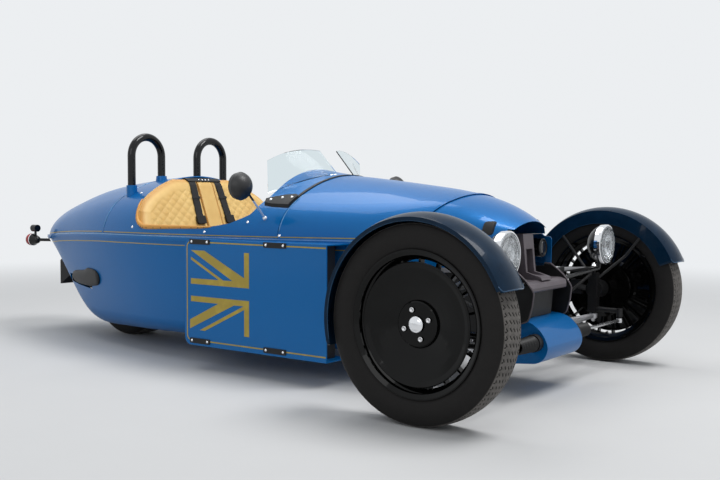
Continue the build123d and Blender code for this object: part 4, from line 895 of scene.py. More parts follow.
@dataclass
class Tyre:
    """A tyre with rows of short slanted slits cut in its tread."""

    node: str
    body: str
    spot: tuple[float, float]
    width: float
    radius: float
    bead: float
    side: float = Side.RIGHT.value
    pitch: float = 26.0
    steps_a_pitch: int = 11
    depth: float = 3.4
    slit_half: float = 2.7
    wall_soft: float = 1.3
    end_soft: float = 1.2
    foot: float = 0.56
    crown: float = 0.86
    bulge: float = 0.5
    tread_steps: int = 30
    wall_steps: int = 12
    shoulder_drop: float = 6.0
    dust_drop: float = 8.5
    # Each column of slits: place across in half widths, shift round in pitches, slant in degrees, half length.
    columns: tuple = ((-0.74, 0.30, 4.0, 5.0), (-0.66, 0.0, -52.0, 8.0), (-0.33, 0.10, -52.0, 9.5),
                      (0.0, 0.20, -52.0, 9.5), (0.33, 0.30, -52.0, 9.5), (0.66, 0.40, -52.0, 8.0),
                      (0.74, 0.10, 4.0, 5.0))

    def section(self) -> np.ndarray:
        """Half the outer section from the crown's middle to the bead: a flat arc, then the sidewall's arc.

        Returns:
            Its points: (place across, radius).
        """
        half, top = self.width / 2, (self.crown * self.width / 2, self.radius - self.shoulder_drop)
        bulge = (half, self.bead + (self.radius - self.bead) * self.bulge)
        tread = arc((-top[0], top[1]), (0.0, self.radius), top, 2 * self.tread_steps + 1)[self.tread_steps:]
        wall = arc(top, bulge, (half * self.foot, self.bead), self.wall_steps + 1)
        return np.concatenate([tread, wall[1:]])

    def slits(self, across: np.ndarray, around: np.ndarray) -> np.ndarray:
        """How deep each point of the tread is cut, from 0 to 1.

        A point is cut where it lies close to a slit's line and within its length, and the walls and ends of
        a slit slope over a short way.

        Args:
            across: the points' places across the tread, in millimetres.
            around: their places round it.

        Returns:
            The depth's share at each point.
        """
        cut = np.zeros(np.broadcast_shapes(across.shape, around.shape))
        for spot, shift, slant, half_long in self.columns:
            a = across - spot * self.width / 2
            b = (around / self.pitch + shift) % 1.0 * self.pitch - self.pitch / 2
            tilt = math.radians(slant)
            along = np.abs(a * math.cos(tilt) + b * math.sin(tilt))
            off = np.abs(b * math.cos(tilt) - a * math.sin(tilt))
            wall = np.clip((self.slit_half - off) / self.wall_soft, 0.0, 1.0)
            cut = np.maximum(cut, wall * np.clip((half_long - along) / self.end_soft, 0.0, 1.0))
        return cut

    def build(self) -> None:
        """Turns the section round the axle: radius = the section's radius less the depth of the slits."""
        right = self.section()
        line = np.concatenate([right[1:][::-1] * (-1.0, 1.0), right])
        pitches = round(2.0 * math.pi * self.radius / self.pitch)
        steps = pitches * self.steps_a_pitch
        turn = full_turn(steps)[None, :]
        on_tread = line[:, 1:] > self.radius - self.shoulder_drop + 0.1
        cut = self.slits(-self.side * line[:, :1], turn / (2.0 * math.pi) * pitches * self.pitch) * on_tread
        radius = (line[:, 1:] - self.depth * cut) * MM
        centre = place(self.spot[0], 0.0, self.spot[1])
        middle = sum(corner.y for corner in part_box(self.node)) / 2
        across = np.broadcast_to(middle + line[:, :1] * MM, radius.shape)
        points = np.stack([centre[0] + radius * np.cos(turn), across, centre[2] + radius * np.sin(turn)], axis=-1)
        finish = Rubber("rubber_" + self.node, tread_r=(self.radius - self.dust_drop) * MM,
                        centre=(centre[0], centre[2]))
        SHOP.piece(self.node + "_tread", (points.reshape(-1, 3), grid_faces(len(line), steps, True, True)), finish,
                   self.body, replaces=[self.node], shade=cut)


@dataclass
class Wheels:
    """The tyres, and the caps, bolts, kingpin nuts and valves of the front wheels.

    Each profile is a list of (place along its axis, radius).
    """

    track: float = 1670.0
    radius: float = 362.0
    base: float = 2510.0
    kingpin_y: float = 680.0
    bolt_circle: float = 54.0
    bolt_turn_deg: float = 20.0
    valve_in: float = 40.0
    valve_drop: float = 236.0
    cap: tuple = ((43.0, 0.0), (43.0, 30.0), (46.5, 29.0), (47.5, 26.0), (47.0, 23.0), (48.5, 21.0), (50.0, 12.0),
                  (50.5, 0.0))
    bolt: tuple = ((42.0, 0.0), (42.0, 9.5), (44.0, 9.5), (45.0, 8.6), (45.0, 5.2), (43.6, 4.8), (43.6, 0.0))
    nut: tuple = ((-2.0, 0.0), (-2.0, 13.5), (1.5, 13.5), (2.0, 11.5), (10.0, 11.0), (11.0, 9.5), (11.0, 6.0),
                  (15.0, 5.5), (15.5, 0.0))
    valve: tuple = ((44.0, 0.0), (44.0, 4.0), (62.0, 4.0), (62.0, 3.0), (70.0, 3.0), (70.0, 0.0))

    def build(self) -> None:
        """The rear tyre, then the tyre and the hub of each front wheel."""
        Tyre("tyre_rear", "wheel_rear", (-self.base, 303.0), 195.0, 303.0, 192.0, depth=4.0).build()
        for name, side in SIDES:
            Tyre("tyre_" + name, "wheel_" + name, (0.0, self.radius), 134.0, self.radius, 252.0, side).build()
            self.hub(name, side)

    def hub(self, name: str, side: float) -> None:
        """A domed cap with four bolts round it, a nut at each end of the kingpin, and the valve's stem.

        Args:
            name: the side's name.
            side: the sign of y there.
        """
        wheel, out, flank = "wheel_" + name, (0.0, side, 0.0), side * self.track / 2
        SHOP.piece(f"hub_cap_{name}", turned(self.cap, place(0.0, flank, self.radius), out, 48), CHROME,
                   wheel)
        bolts, nuts = [], []
        for turn in np.radians(self.bolt_turn_deg + 90.0 * np.arange(4)):
            spot = place(self.bolt_circle * math.cos(turn), flank, self.radius + self.bolt_circle * math.sin(turn))
            bolts.append(turned(self.bolt, spot, out, 24))
        SHOP.piece(f"hub_bolts_{name}", joined(*bolts), BRIGHT_STEEL, wheel)
        for start_z, way, out_way in ((900.0, DOWN, UP), (0.0, UP, DOWN)):
            spot, _ = SHOP.hit(("knuckle_" + name,), place(0.0, side * self.kingpin_y, start_z), way)
            if spot is not None:
                nuts.append(turned(self.nut, spot, out_way, 24))
        if nuts:
            SHOP.piece(f"kingpin_nuts_{name}", joined(*nuts), BRIGHT_STEEL, "knuckle_" + name)
        stem = place(0.0, side * (self.track / 2 - self.valve_in), self.radius - self.valve_drop)
        SHOP.piece(f"tyre_valve_{name}", turned(self.valve, stem, (0.0, side, 0.15), 12), BLACK_PLASTIC,
                   wheel)


@dataclass
class Upholstery:
    """The quilted seat backs with their rolled edge, the plain band between them, and the cushions."""

    face_x: float = -1884.0
    face_z: float = 657.0
    lean: float = 0.38
    proud: float = 9.0
    rear_x: float = -1937.0
    rear_z: float = 718.0
    rear_lean: float = 0.337
    rim_z: float = 648.0
    thick: float = 33.0
    foot: float = 292.0
    shoulder_z: float = 640.0
    inner_y: float = 57.0
    inner_rate: float = 2.4
    crest: float = 891.0
    crest_fall: float = 30.0
    crest_reach: float = 34.0
    tilt_deg: float = 20.8
    roll: float = 24.0
    roll_reach: float = 62.0
    roll_from: float = 120.0
    roll_fade: float = 60.0
    inner_roll: float = 14.4
    inner_reach: float = 40.0
    pitch: float = 48.0
    slant: float = 0.8
    puff: float = 3.4
    mean_puff: float = 0.85
    plain_rim: float = 50.0
    fade: float = 16.0
    least: float = 6.0
    far: float = 400.0
    # The value for the pad's rear face, beyond the reach of the painted edge shade.
    unshaded: float = 60.0
    back_grid: tuple[int, int] = (150, 120)
    band_half: float = 51.5
    band_foot: float = 334.0
    band_round: float = 14.0
    band_proud: float = 8.0
    band_bow: float = 4.0
    band_grid: tuple[int, int] = (110, 25)
    cord: float = 2.4
    cord_steps: int = 70
    cushion_x: tuple[float, float] = (-1800.0, -1331.0)
    cushion_y: tuple[float, float] = (63.0, 411.0)
    cushion_grid: tuple[int, int] = (120, 90)
    cushion_pitch: float = 62.0
    cushion_crown: float = 10.0
    cushion_reach: float = 70.0
    cushion_puff: float = 5.0
    cushion_foot: float = 0.72
    floor_z: float = 130.0
    roll_radius: float = 12.0
    roll_steps: int = 130
    roll_turns: int = 20
    nail_steps: tuple = tuple(range(30, 122, 7))
    # Half the opening's width at some heights: (height, half width).
    room: tuple = ((600.0, 500.0), (640.0, 501.0), (665.0, 500.0), (690.0, 492.5), (722.0, 481.5), (750.0, 600.0))
    # The cushion's top in side view: (x, z).
    cushion_top: tuple = ((-1800.0, 284.0), (-1700.0, 290.0), (-1390.0, 340.0), (-1330.0, 322.0))
    # The roll's thickness on its way forward: (share of the way, share of the radius).
    swell: tuple = ((0.0, 0.35), (0.2, 0.62), (0.36, 0.95), (0.6, 1.0), (1.0, 0.45))
    nail: tuple = ((-1.0, 0.0), (-1.0, 3.4), (0.4, 3.2), (1.6, 1.8), (2.0, 0.0))
    roll_path: tuple = ((-1962.0, 430.0, 790.0), (-1952.0, 461.0, 756.0), (-1940.0, 483.0, 720.0),
                        (-1927.0, 495.0, 690.0), (-1904.0, 503.0, 668.0), (-1872.0, 509.0, 654.5),
                        (-1838.0, 512.5, 650.5), (-1750.0, 516.0, 651.5), (-1650.0, 518.5, 653.5),
                        (-1520.0, 517.5, 656.0), (-1450.0, 514.5, 657.5), (-1385.0, 509.5, 661.5))

    def face(self, z: np.ndarray) -> np.ndarray:
        """The CAD face's x at a height: a plane that leans back."""
        return self.face_x - self.lean * (z - self.face_z)

    def back(self, z: np.ndarray) -> np.ndarray:
        """The pad's rear x: along the opening's rear edge, and a constant thickness under the rim."""
        return np.where(z > self.rim_z, self.rear_x - self.rear_lean * (z - self.rear_z), self.face(z) - self.thick)

    def round_top(self, z: np.ndarray) -> np.ndarray:
        """How far the pads fall back at a height towards their crest."""
        return rolled_edge(self.crest - z, self.crest_fall, self.crest_reach)

    def over_top(self, turn_deg: float, out: float) -> tuple[float, float]:
        """A point over the pads' round top edge: x and z of an ellipse's turn, moved out square to it.

        Args:
            turn_deg: 90 at the crest, 0 where the round edge meets the face.
            out: the distance from the pad.

        Returns:
            The point's x and z, in millimetres.
        """
        turn = math.radians(turn_deg)
        z = self.crest - self.crest_reach * (1.0 - math.sin(turn))
        x = float(self.face(z)) + self.proud - self.crest_fall * (1.0 - math.cos(turn))
        way = math.radians(self.tilt_deg + turn_deg * (90.0 - self.tilt_deg) / 90.0)
        return x + out * math.cos(way), z + out * math.sin(way)

    def outline(self, side: float, heights: np.ndarray) -> np.ndarray:
        """The pad's outer half width at each height, found by rays from the side onto the CAD solid.

        Args:
            side: the sign of y on the pad's side.
            heights: the heights, in millimetres.

        Returns:
            The half widths, kept inside the opening.
        """
        widths = []
        for z in heights:
            start = place(float(self.face(z)) - 4.0, side * 800.0, float(z))
            spot, _ = SHOP.hit(("seat_backs",), start, (0.0, -side, 0.0))
            widths.append(abs(spot[1]) / MM if spot is not None and spot[1] * side > 0 else self.inner_y)
        room = np.where(heights > self.room[0][0], from_table(heights, self.room), 600.0)
        return np.maximum(np.minimum(np.array(widths), room), self.inner_y + 0.5)

    def seat_back(self, name: str, side: float) -> None:
        """A pad on a grid of height and width.

        Forward = the leaning face, less the deepest of three falls: the outer edge's, the crest's and the
        inner edge's, plus the quilting between them, faded out towards the edge.

        Args:
            name: the side's name.
            side: the sign of y there.
        """
        rows, cols = self.back_grid
        heights = rising(self.foot, self.crest, rows)
        width = self.outline(side, heights)
        even = np.linspace(0.0, 1.0, cols)
        share = 0.6 * even + 0.4 * np.sin(math.pi / 2 * even)
        y = self.inner_y + share[None, :] * (width[:, None] - self.inner_y)
        z = np.broadcast_to(heights[:, None], y.shape)
        upper = slice(rows // 2, rows)
        over = np.interp(y, width[upper][::-1], heights[upper][::-1]) - z
        outer, inner = width[:, None] - y, (y - self.inner_y) * self.inner_rate + 2.0
        lean = 1.0 / np.sqrt(1.0 + np.gradient(width, heights) ** 2)[:, None]
        edge = np.maximum(np.minimum.reduce([outer * lean, over + (z < self.shoulder_z) * self.far, inner,
                                             (z - self.foot) * 1.5]), 0.0)
        across = self.slant * y
        quilt = quilting(math.pi * (across + z) / self.pitch, math.pi * (across - z) / self.pitch)
        quilted = np.clip((edge - self.plain_rim) / self.fade, 0.0, 1.0)
        rolled = np.clip((y - self.roll_from) / self.roll_fade, 0.0, 1.0)
        fall = np.maximum.reduce([rolled_edge(edge, self.roll, self.roll_reach) * rolled, self.round_top(z),
                                  rolled_edge(inner, self.inner_roll, self.inner_reach)])
        x = self.face(z) + self.proud - fall + self.puff * (quilt - self.mean_puff) * quilted
        front, rear = place(x, side * y, z), place(np.minimum(self.back(z), x - self.least), side * y, z)
        # Distance to the outer edge and crest, from which the leather paints its edge shade.
        edge_shading = np.minimum(outer, np.where(z > self.shoulder_z, over, self.far))
        made = SHOP.piece(f"seat_back_{name}", pad(front, rear), EDGE_SHADED_TAN, replaces=["seat_backs"],
                          shade=np.stack([edge_shading, np.full_like(edge_shading, self.unshaded)]))

    def centre_band(self) -> None:
        """The plain band between the backs, slightly proud, with a piping cord down each edge."""
        half, (rows, cols) = self.band_half, self.band_grid
        z = rising(self.band_foot, self.crest, rows)[:, None]
        y = np.linspace(-half, half, cols)[None, :]
        bow = np.sin(math.pi / 2 * np.minimum(half - np.abs(y), self.band_round) / self.band_round)
        x = self.face(z) + self.band_proud + self.band_bow * bow - self.round_top(z)
        z = np.broadcast_to(z, x.shape)
        made = SHOP.piece("centre_band", pad(place(x, y, z), place(self.back(z), y, z)), TAN,
                          replaces=["centre_pad"])
        height = rising(self.band_foot + 2.0, self.crest - 1.0, self.cord_steps)
        x = self.face(height) + self.band_proud + 0.5 - self.round_top(height)
        cords = [carried(place(x, way * (half + 1.5), height), circle(self.cord, 8), np.array([1.0, 0.0, 0.3]))
                 for way in (-1.0, 1.0)]
        SHOP.piece("band_piping", joined(*cords), PIPING)

    def cushion(self, name: str, side: float) -> None:
        """A seat cushion: a crowned, quilted sheet with rolled edges over a box down to the floor.

        Up = the table's height, less the rolled edge's fall, plus a crown that grows as one less an
        exponential of the distance from the edge, plus the quilting, faded out towards the edge.

        Args:
            name: the side's name.
            side: the sign of y there.
        """
        (rear_x, front_x), (inner_y, outer_y) = self.cushion_x, self.cushion_y
        x = np.linspace(rear_x, front_x, self.cushion_grid[0])[:, None]
        y = np.linspace(inner_y, outer_y, self.cushion_grid[1])[None, :]
        edge = np.minimum.reduce(np.broadcast_arrays(x - rear_x + 60.0, front_x - x, y - inner_y, outer_y - y))
        quilt = quilting(math.pi * (y + x) / self.cushion_pitch, math.pi * (y - x) / self.cushion_pitch)
        quilted = np.clip((edge - 30.0) / 12.0, 0.0, 1.0)
        z = (from_table(x, self.cushion_top) - 4.0 - rolled_edge(edge, self.roll, 26.0)
             + self.cushion_crown * (1.0 - np.exp(-edge / self.cushion_reach))
             + self.cushion_puff * (quilt - 0.8) * quilted)
        front = place(x, side * y, z)
        rear = place(x + 0.0 * y, side * (inner_y + (y - inner_y) * self.cushion_foot), self.floor_z)
        made = SHOP.piece(f"seat_cushion_{name}", pad(front, rear), TAN, replaces=["seat_bases"])

    def rim_roll(self, name: str, side: float) -> None:
        """The tan roll on a side rim, in a darker copy of the tan that is painted shade, swelling towards the seat,
        with a row of upholstery nails.

        The section is a circle carried along the path; its radius follows the table and closes at both ends.

        Args:
            name: the side's name.
            side: the sign of y there.
        """
        steps = self.roll_steps
        path = smooth_path(self.roll_path, steps) * (1.0, side, 1.0)
        way = np.linspace(0.0, 1.0, steps)[:, None, None]
        ends = np.sqrt(np.clip(1.0 - np.abs(2.0 * way - 1.0) ** 14, 0.0, 1.0))
        radius = self.roll_radius * MM * from_table(way, self.swell) * ends
        ahead = unit(np.gradient(path, axis=0))
        across = unit(np.cross(ahead, (0.3, side, 0.2)))
        up = np.cross(across, ahead)
        turn = full_turn(self.roll_turns)[None, :, None]
        points = place(*path.T)[:, None] + radius * (across[:, None] * np.cos(turn) + up[:, None] * np.sin(turn))
        skin = (points.reshape(-1, 3), grid_faces(steps, self.roll_turns, False, True))
        made = SHOP.piece(f"rim_roll_{name}", skin, SHADED_ROLL_TAN, replaces=["coaming_rolls"])
        nails = []
        for i in self.nail_steps:
            spot = place(*path[i]) + radius[i, 0, 0] * np.array([0.0, side * 0.94, -0.34])
            nails.append(turned(self.nail, spot, (0.0, side, -0.36), 10))
        SHOP.piece(f"roll_nails_{name}", joined(*nails), DARK_NAIL)

    def build(self) -> None:
        """Backs, cushions, band and rolls."""
        for name, side in SIDES:
            self.seat_back(name, side)
            self.cushion(name, side)
        self.centre_band()
        for name, side in SIDES:
            self.rim_roll(name, side)


@dataclass(frozen=True)
class Fitting:
    """A flat fitting with round corners that lies across a strap, in millimetres."""

    strap_z: float
    z: float
    half_wide: float
    half_high: float
    out: float
    depth: float
    corner: float = 0.35
    points: int = 40


@dataclass
class Belts:
    """Two shoulder belts with the plate they hang from, their adjusters and buckles."""

    seats: Upholstery
    plate_half: float = 121.0
    plate_out: float = 8.2
    plate_under: float = 5.0
    face_way: tuple[float, float, float] = (0.935, 0.0, 0.355)
    # The straps' middles: (height, half their distance).
    spread: tuple = ((672.0, 108.0), (920.0, 90.0))
    # Turns over the pads' top, and heights down their face, that a strap runs through.
    over_deg: tuple = (90.0, 75.0, 60.0, 45.0, 30.0, 15.0, 0.0)
    down_z: tuple = (850.0, 820.0, 775.0, 730.0, 674.0)
    # Layers of webbing: width, half thickness, lift and first step on the path.
    layers: tuple = ((48.0, 0.9, 0.0, 0), (45.0, 1.0, 2.0, 46))
    # The buckle, its button and the adjuster.
    fittings: tuple = (Fitting(674.0, 674.0, 31.0, 22.0, 12.0, 12.0),
                       Fitting(674.0, 670.0, 14.0, 9.0, 23.16, 2.0, 0.4, 32),
                       Fitting(793.0, 793.0, 29.0, 7.0, 13.5, 5.0))
    plate_deg: tuple = (90.0, 76.0, 62.0, 48.0, 34.0)
    stud: tuple = ((-0.5, 0.0), (-0.5, 4.5), (1.4, 4.5), (3.0, 3.0), (3.6, 0.0))
    stud_y: tuple = (-36.0, -12.0, 12.0, 36.0)

    def straps(self, side: float) -> list[Shape]:
        """A strap comes off the plate, bends over the pad's edge and hangs down its face, doubled at the foot.

        Args:
            side: the sign of y on the strap's side.

        Returns:
            Its layers.
        """
        z = np.array(self.down_z)
        run = [self.seats.over_top(turn, 3.2) for turn in self.over_deg] + list(zip(self.seats.face(z) + 12.4, z))
        path = smooth_path([place(x, side * from_table(h, self.spread), h) for x, h in run], 80)
        out = np.cross(np.gradient(path, axis=0), [0.0, 1.0, 0.0])
        out *= -1.0 if out[:, 0].sum() < 0.0 else 1.0
        return [carried(path[first:], flat(wide / 2, lift - thick, lift + thick), out[first:])
                for wide, thick, lift, first in self.layers]

    def fitted(self, fitting: Fitting, side: float) -> Shape:
        """A fitting on a side's strap, parallel to the pad's face.

        Args:
            fitting: its sizes.
            side: the sign of y on the strap's side.

        Returns:
            Its points and faces.
        """
        a, b = squarish(fitting.half_wide, fitting.half_high, fitting.corner, fitting.points)
        height = fitting.z + b
        outline = place(self.seats.face(height) + fitting.out, side * from_table(fitting.strap_z, self.spread) + a,
                        height)
        return slab(outline, self.face_way, fitting.depth)

    def anchor(self) -> Shape:
        """A plate bent over the pads' top: one closed section in side view, carried across.

        Returns:
            Its points and faces.
        """
        over, count = self.seats.over_top, 31
        outer = [over(turn, self.plate_out) for turn in self.plate_deg]
        inner = [over(turn, self.plate_under) for turn in self.plate_deg[::-1]]
        rear_x = outer[0][0] - 7.0
        edge = np.array([(rear_x, outer[0][1]), *outer, *inner, (rear_x, over(90.0, 6.4)[1])])
        across = np.linspace(-self.plate_half, self.plate_half, count)[:, None]
        rows = place(edge[None, :, 0], across, edge[None, :, 1])
        ends = [list(range(len(edge))), [(count - 1) * len(edge) + i for i in range(len(edge))][::-1]]
        return rows.reshape(-1, 3), grid_faces(count, len(edge), False, True) + ends

    def build(self) -> None:
        """The straps, their fittings, and the plate with its studs."""
        straps = [layer for _, side in SIDES for layer in self.straps(side)]
        buckles = [self.fitted(fitting, side) for _, side in SIDES for fitting in self.fittings]
        SHOP.piece("belt_straps", joined(*straps), BELT_WEB, smooth=False, replaces=["belts"])
        SHOP.piece("belt_buckles", joined(*buckles), BLACK_PLASTIC, bevel_mm=1.2)
        SHOP.piece("belt_anchor_plate", self.anchor(), SATIN_BLACK, smooth=False, bevel_mm=0.8)
        x, z = self.seats.over_top(48.0, self.plate_out)
        studs = [turned(self.stud, place(x, y, z), (0.55, 0.0, 0.83), 16) for y in self.stud_y]
        SHOP.piece("belt_anchor_studs", joined(*studs), CHROME)


@dataclass
class BladeMarks:
    """Gold half-flag stripes and border of the side blades; each bar is an outline of (x, z)."""

    plane_y: float = 585.15
    thick: float = 0.35
    border_x: float = -1471.0
    border_top: float = 592.0
    border_low: float = 135.0
    border_front: float = -640.0
    corner: float = 24.0
    line: float = 6.0
    bars: tuple = (
        ((-1445.0, 554.0), (-1357.0, 554.0), (-1106.0, 441.0), (-1106.0, 554.0), (-1076.0, 554.0), (-1076.0, 397.0),
         (-1446.0, 397.0), (-1446.0, 423.0), (-1178.0, 424.0)),
        ((-1445.0, 523.0), (-1445.0, 510.0), (-1264.0, 423.5), (-1236.0, 423.5)),
        ((-1446.0, 341.0), (-1076.0, 341.0), (-1076.0, 180.0), (-1106.0, 180.0), (-1106.0, 299.0), (-1356.0, 183.0),
         (-1388.0, 184.0), (-1110.0, 315.0), (-1168.0, 315.0), (-1453.0, 187.0), (-1453.0, 229.0), (-1268.0, 315.0),
         (-1446.0, 315.0)),
    )

    def build(self) -> None:
        """Each bar is a flat outline with a thin edge; the border is a thin strip round a rounded corner."""
        for name, side in SIDES:
            out, y, r = (0.0, side, 0.0), side * self.plane_y, self.corner
            bars = [slab(side_view(bar, y), out, self.thick) for bar in self.bars]
            SHOP.piece(f"flag_stripes_{name}", joined(*bars), STRIPE, smooth=False)
            turn = np.linspace(0.0, math.pi / 2, 12)
            xs = np.concatenate([[self.border_front], self.border_x + r - r * np.sin(turn),
                                 self.border_x + r - r * np.cos(turn), [self.border_front]])
            zs = np.concatenate([[self.border_top], self.border_top - r + r * np.cos(turn),
                                 self.border_low + r - r * np.sin(turn), [self.border_low]])
            strip = carried(place(xs, y, zs), flat(self.line / 2, 0.0, self.thick), np.array(out))
            SHOP.piece(f"blade_border_{name}", strip, STRIPE, smooth=False)


@dataclass
class BodyTrim:
    """Thin gold lines beside the belt moulding, lighter beads on the moulding's lip and the lid's and bonnet's rolled
    edges as painted highlights, and the opening's round corners.
    """

    front_x: float = -360.0
    fan_x: float = -2900.0
    reach: float = 900.0
    line_half: float = 2.2
    line_sunk: float = -0.4
    line_lift: float = 0.5
    gap: float = 90.0
    panel_z: float = 610.0
    fan_z: float = 615.0
    rim: tuple = ((-2.4, -1.0), (2.4, -1.0), (2.0, 0.9), (0.9, 1.9), (-0.9, 1.9), (-2.0, 0.9))
    tub_offset: float = -31.0
    deck_offset: float = 21.0
    lip_offset: float = 10.5
    lid_x: tuple[float, float] = (-2180.0, -2262.0)
    bonnet_x: tuple[float, float] = (-1075.0, -900.0)
    skin_grid: tuple[int, int] = (25, 8)
    corner: tuple = ((-1842.0, 514.5, 642.5), (-1914.0, 505.5, 653.5), (-1942.0, 482.0, 722.0))
    corner_edge: tuple = ((-1842.0, 515.5, 639.5), (-1918.0, 507.0, 648.5), (-1946.5, 483.5, 722.0))

    def rays(self) -> tuple[np.ndarray, np.ndarray]:
        """Starts and ways of level rays round the car: square to it along the sides, a fan round the tail.

        Returns:
            The starts' x, and the ways that point out.
        """
        along = np.arange(self.front_x, self.fan_x, -20.0)
        fan = np.radians(np.linspace(90.0, 270.0, 61))
        x = np.concatenate([along, self.fan_x + 0.0 * fan, along[::-1]])
        way_x = np.concatenate([0.0 * along, np.cos(fan), 0.0 * along])
        way_y = np.concatenate([0.0 * along - 1.0, -np.sin(fan), 0.0 * along + 1.0])
        return x, np.stack([way_x, way_y], axis=-1)

    def runs(self, nodes: Sequence[str], offset: float) -> list[tuple[np.ndarray, np.ndarray]]:
        """Where the rays meet some nodes at a height beside the belt line, cut where they miss.

        Args:
            nodes: the CAD nodes that the line lies on.
            offset: the height over the belt line, in millimetres.

        Returns:
            The points of each run and their surface directions.
        """
        found: list[list] = [[]]
        for x, (way_x, way_y) in zip(*self.rays()):
            spot, hit_x = None, x
            for _ in range(3):
                z = float(from_table(hit_x, BELT_ROWS[::-1])) + offset
                start = place(x + way_x * self.reach, way_y * self.reach, z)
                spot, normal = SHOP.hit(nodes, start, (-way_x, -way_y, 0.0))
                if spot is None:
                    break
                hit_x = (spot[0] - AXLE_X) / MM
            if spot is None or (found[-1] and np.linalg.norm(found[-1][-1][0] - spot) > self.gap * MM):
                found.append([])
            if spot is not None:
                found[-1].append((spot, normal * np.sign(normal[0] * way_x + normal[1] * way_y)))
        return [tuple(np.array(part) for part in zip(*run)) for run in found if len(run) > 3]

    def strip(self, path: np.ndarray, out: np.ndarray) -> Shape:
        """A thin flat strip along a path on the surface, with its directions evened."""
        return carried(path, flat(self.line_half, self.line_sunk, self.line_lift), evened(out))

    def highlight_bead(self, name: str, node: str, stations: Sequence[float], turns: Sequence[float], body: str) -> None:
        """A bead on a panel's rolled edge, in a lighter blue as a painted highlight: it lies at the first station
        along the car at which level fan rays meet the panel.

        Args:
            name: the piece's name.
            node: the panel's CAD node.
            stations: places along the car, from the gap into the panel.
            turns: the fan's directions, in degrees up from the right side.
            body: the body that the panel rides on.
        """
        points, outs = [], []
        inward = np.array([math.copysign(3.0 * MM, stations[1] - stations[0]), 0.0, 0.0])
        for turn in np.radians(turns):
            way = np.array([0.0, -math.cos(turn), math.sin(turn)])
            for x in stations:
                spot, _ = SHOP.hit((node,), place(x, 0.0, self.fan_z) + way * self.reach * MM, -way)
                if spot is not None and spot[2] > self.panel_z * MM:
                    points.append(spot + inward)
                    outs.append(way)
                    break
        SHOP.piece(name, carried(evened(np.array(points)), self.rim, np.array(outs)), BLUE_HIGHLIGHT, body)

    def corners(self) -> None:
        """A small skin that rounds the opening's lower corner: straight lines from a curve to the old edge.

        The curve is the quadratic one through the ends of three points, drawn towards the middle one.
        """
        for name, side in SIDES:
            t = np.linspace(0.0, 1.0, self.skin_grid[0])[:, None]
            a, b, c = (np.array(p) for p in self.corner)
            bow = a * (1 - t) ** 2 + 2 * b * t * (1 - t) + c * t ** 2
            edge = np.array(self.corner_edge)
            old = np.stack([np.interp(t[:, 0] * 2.0, [0.0, 1.0, 2.0], edge[:, i]) for i in range(3)], axis=-1)
            share = np.linspace(0.0, 1.0, self.skin_grid[1])[None, :, None]
            skin = bow[:, None] * (1.0 - share) + old[:, None] * share
            skin[..., 1] += 1.2
            front = place(skin[..., 0], side * skin[..., 1], skin[..., 2])
            rear = place(skin[..., 0] - 0.6, side * (skin[..., 1] - 3.0), skin[..., 2])
            SHOP.piece(f"opening_corner_{name}", pad(front, rear), BODY_PAINT)

    def build(self) -> None:
        """The tub's line, the deck's line and its run on the lid, the painted highlights on the moulding's lip and on
        the lid's and bonnet's edges, and the corners.
        """
        deck = ("nose_cowl", "bonnet", "cockpit_surround")
        for name, nodes, offset, finish, body in (
                ("tub_lining", ("tub",), self.tub_offset, STRIPE, "car"),
                ("deck_lining", deck, self.deck_offset, STRIPE, "car"),
                ("lid_lining", ("boot_lid",), self.deck_offset, STRIPE, "boot_lid"),
                ("moulding_lip", ("belt_mouldings",), self.lip_offset, BLUE_HIGHLIGHT, "car")):
            strips = [self.strip(*run) for run in self.runs(nodes, offset)]
            if strips:
                SHOP.piece(name, joined(*strips), finish, body, smooth=False)
        self.highlight_bead("boot_lid_edge", "boot_lid", np.arange(*self.lid_x, -1.0), np.linspace(3.0, 177.0, 88),
                        "boot_lid")
        for name, turns in (("right", np.linspace(4.0, 30.0, 16)), ("left", np.linspace(176.0, 150.0, 16))):
            self.highlight_bead("bonnet_edge_" + name, "bonnet", np.arange(*self.bonnet_x, 1.0), turns, "car")
        self.corners()


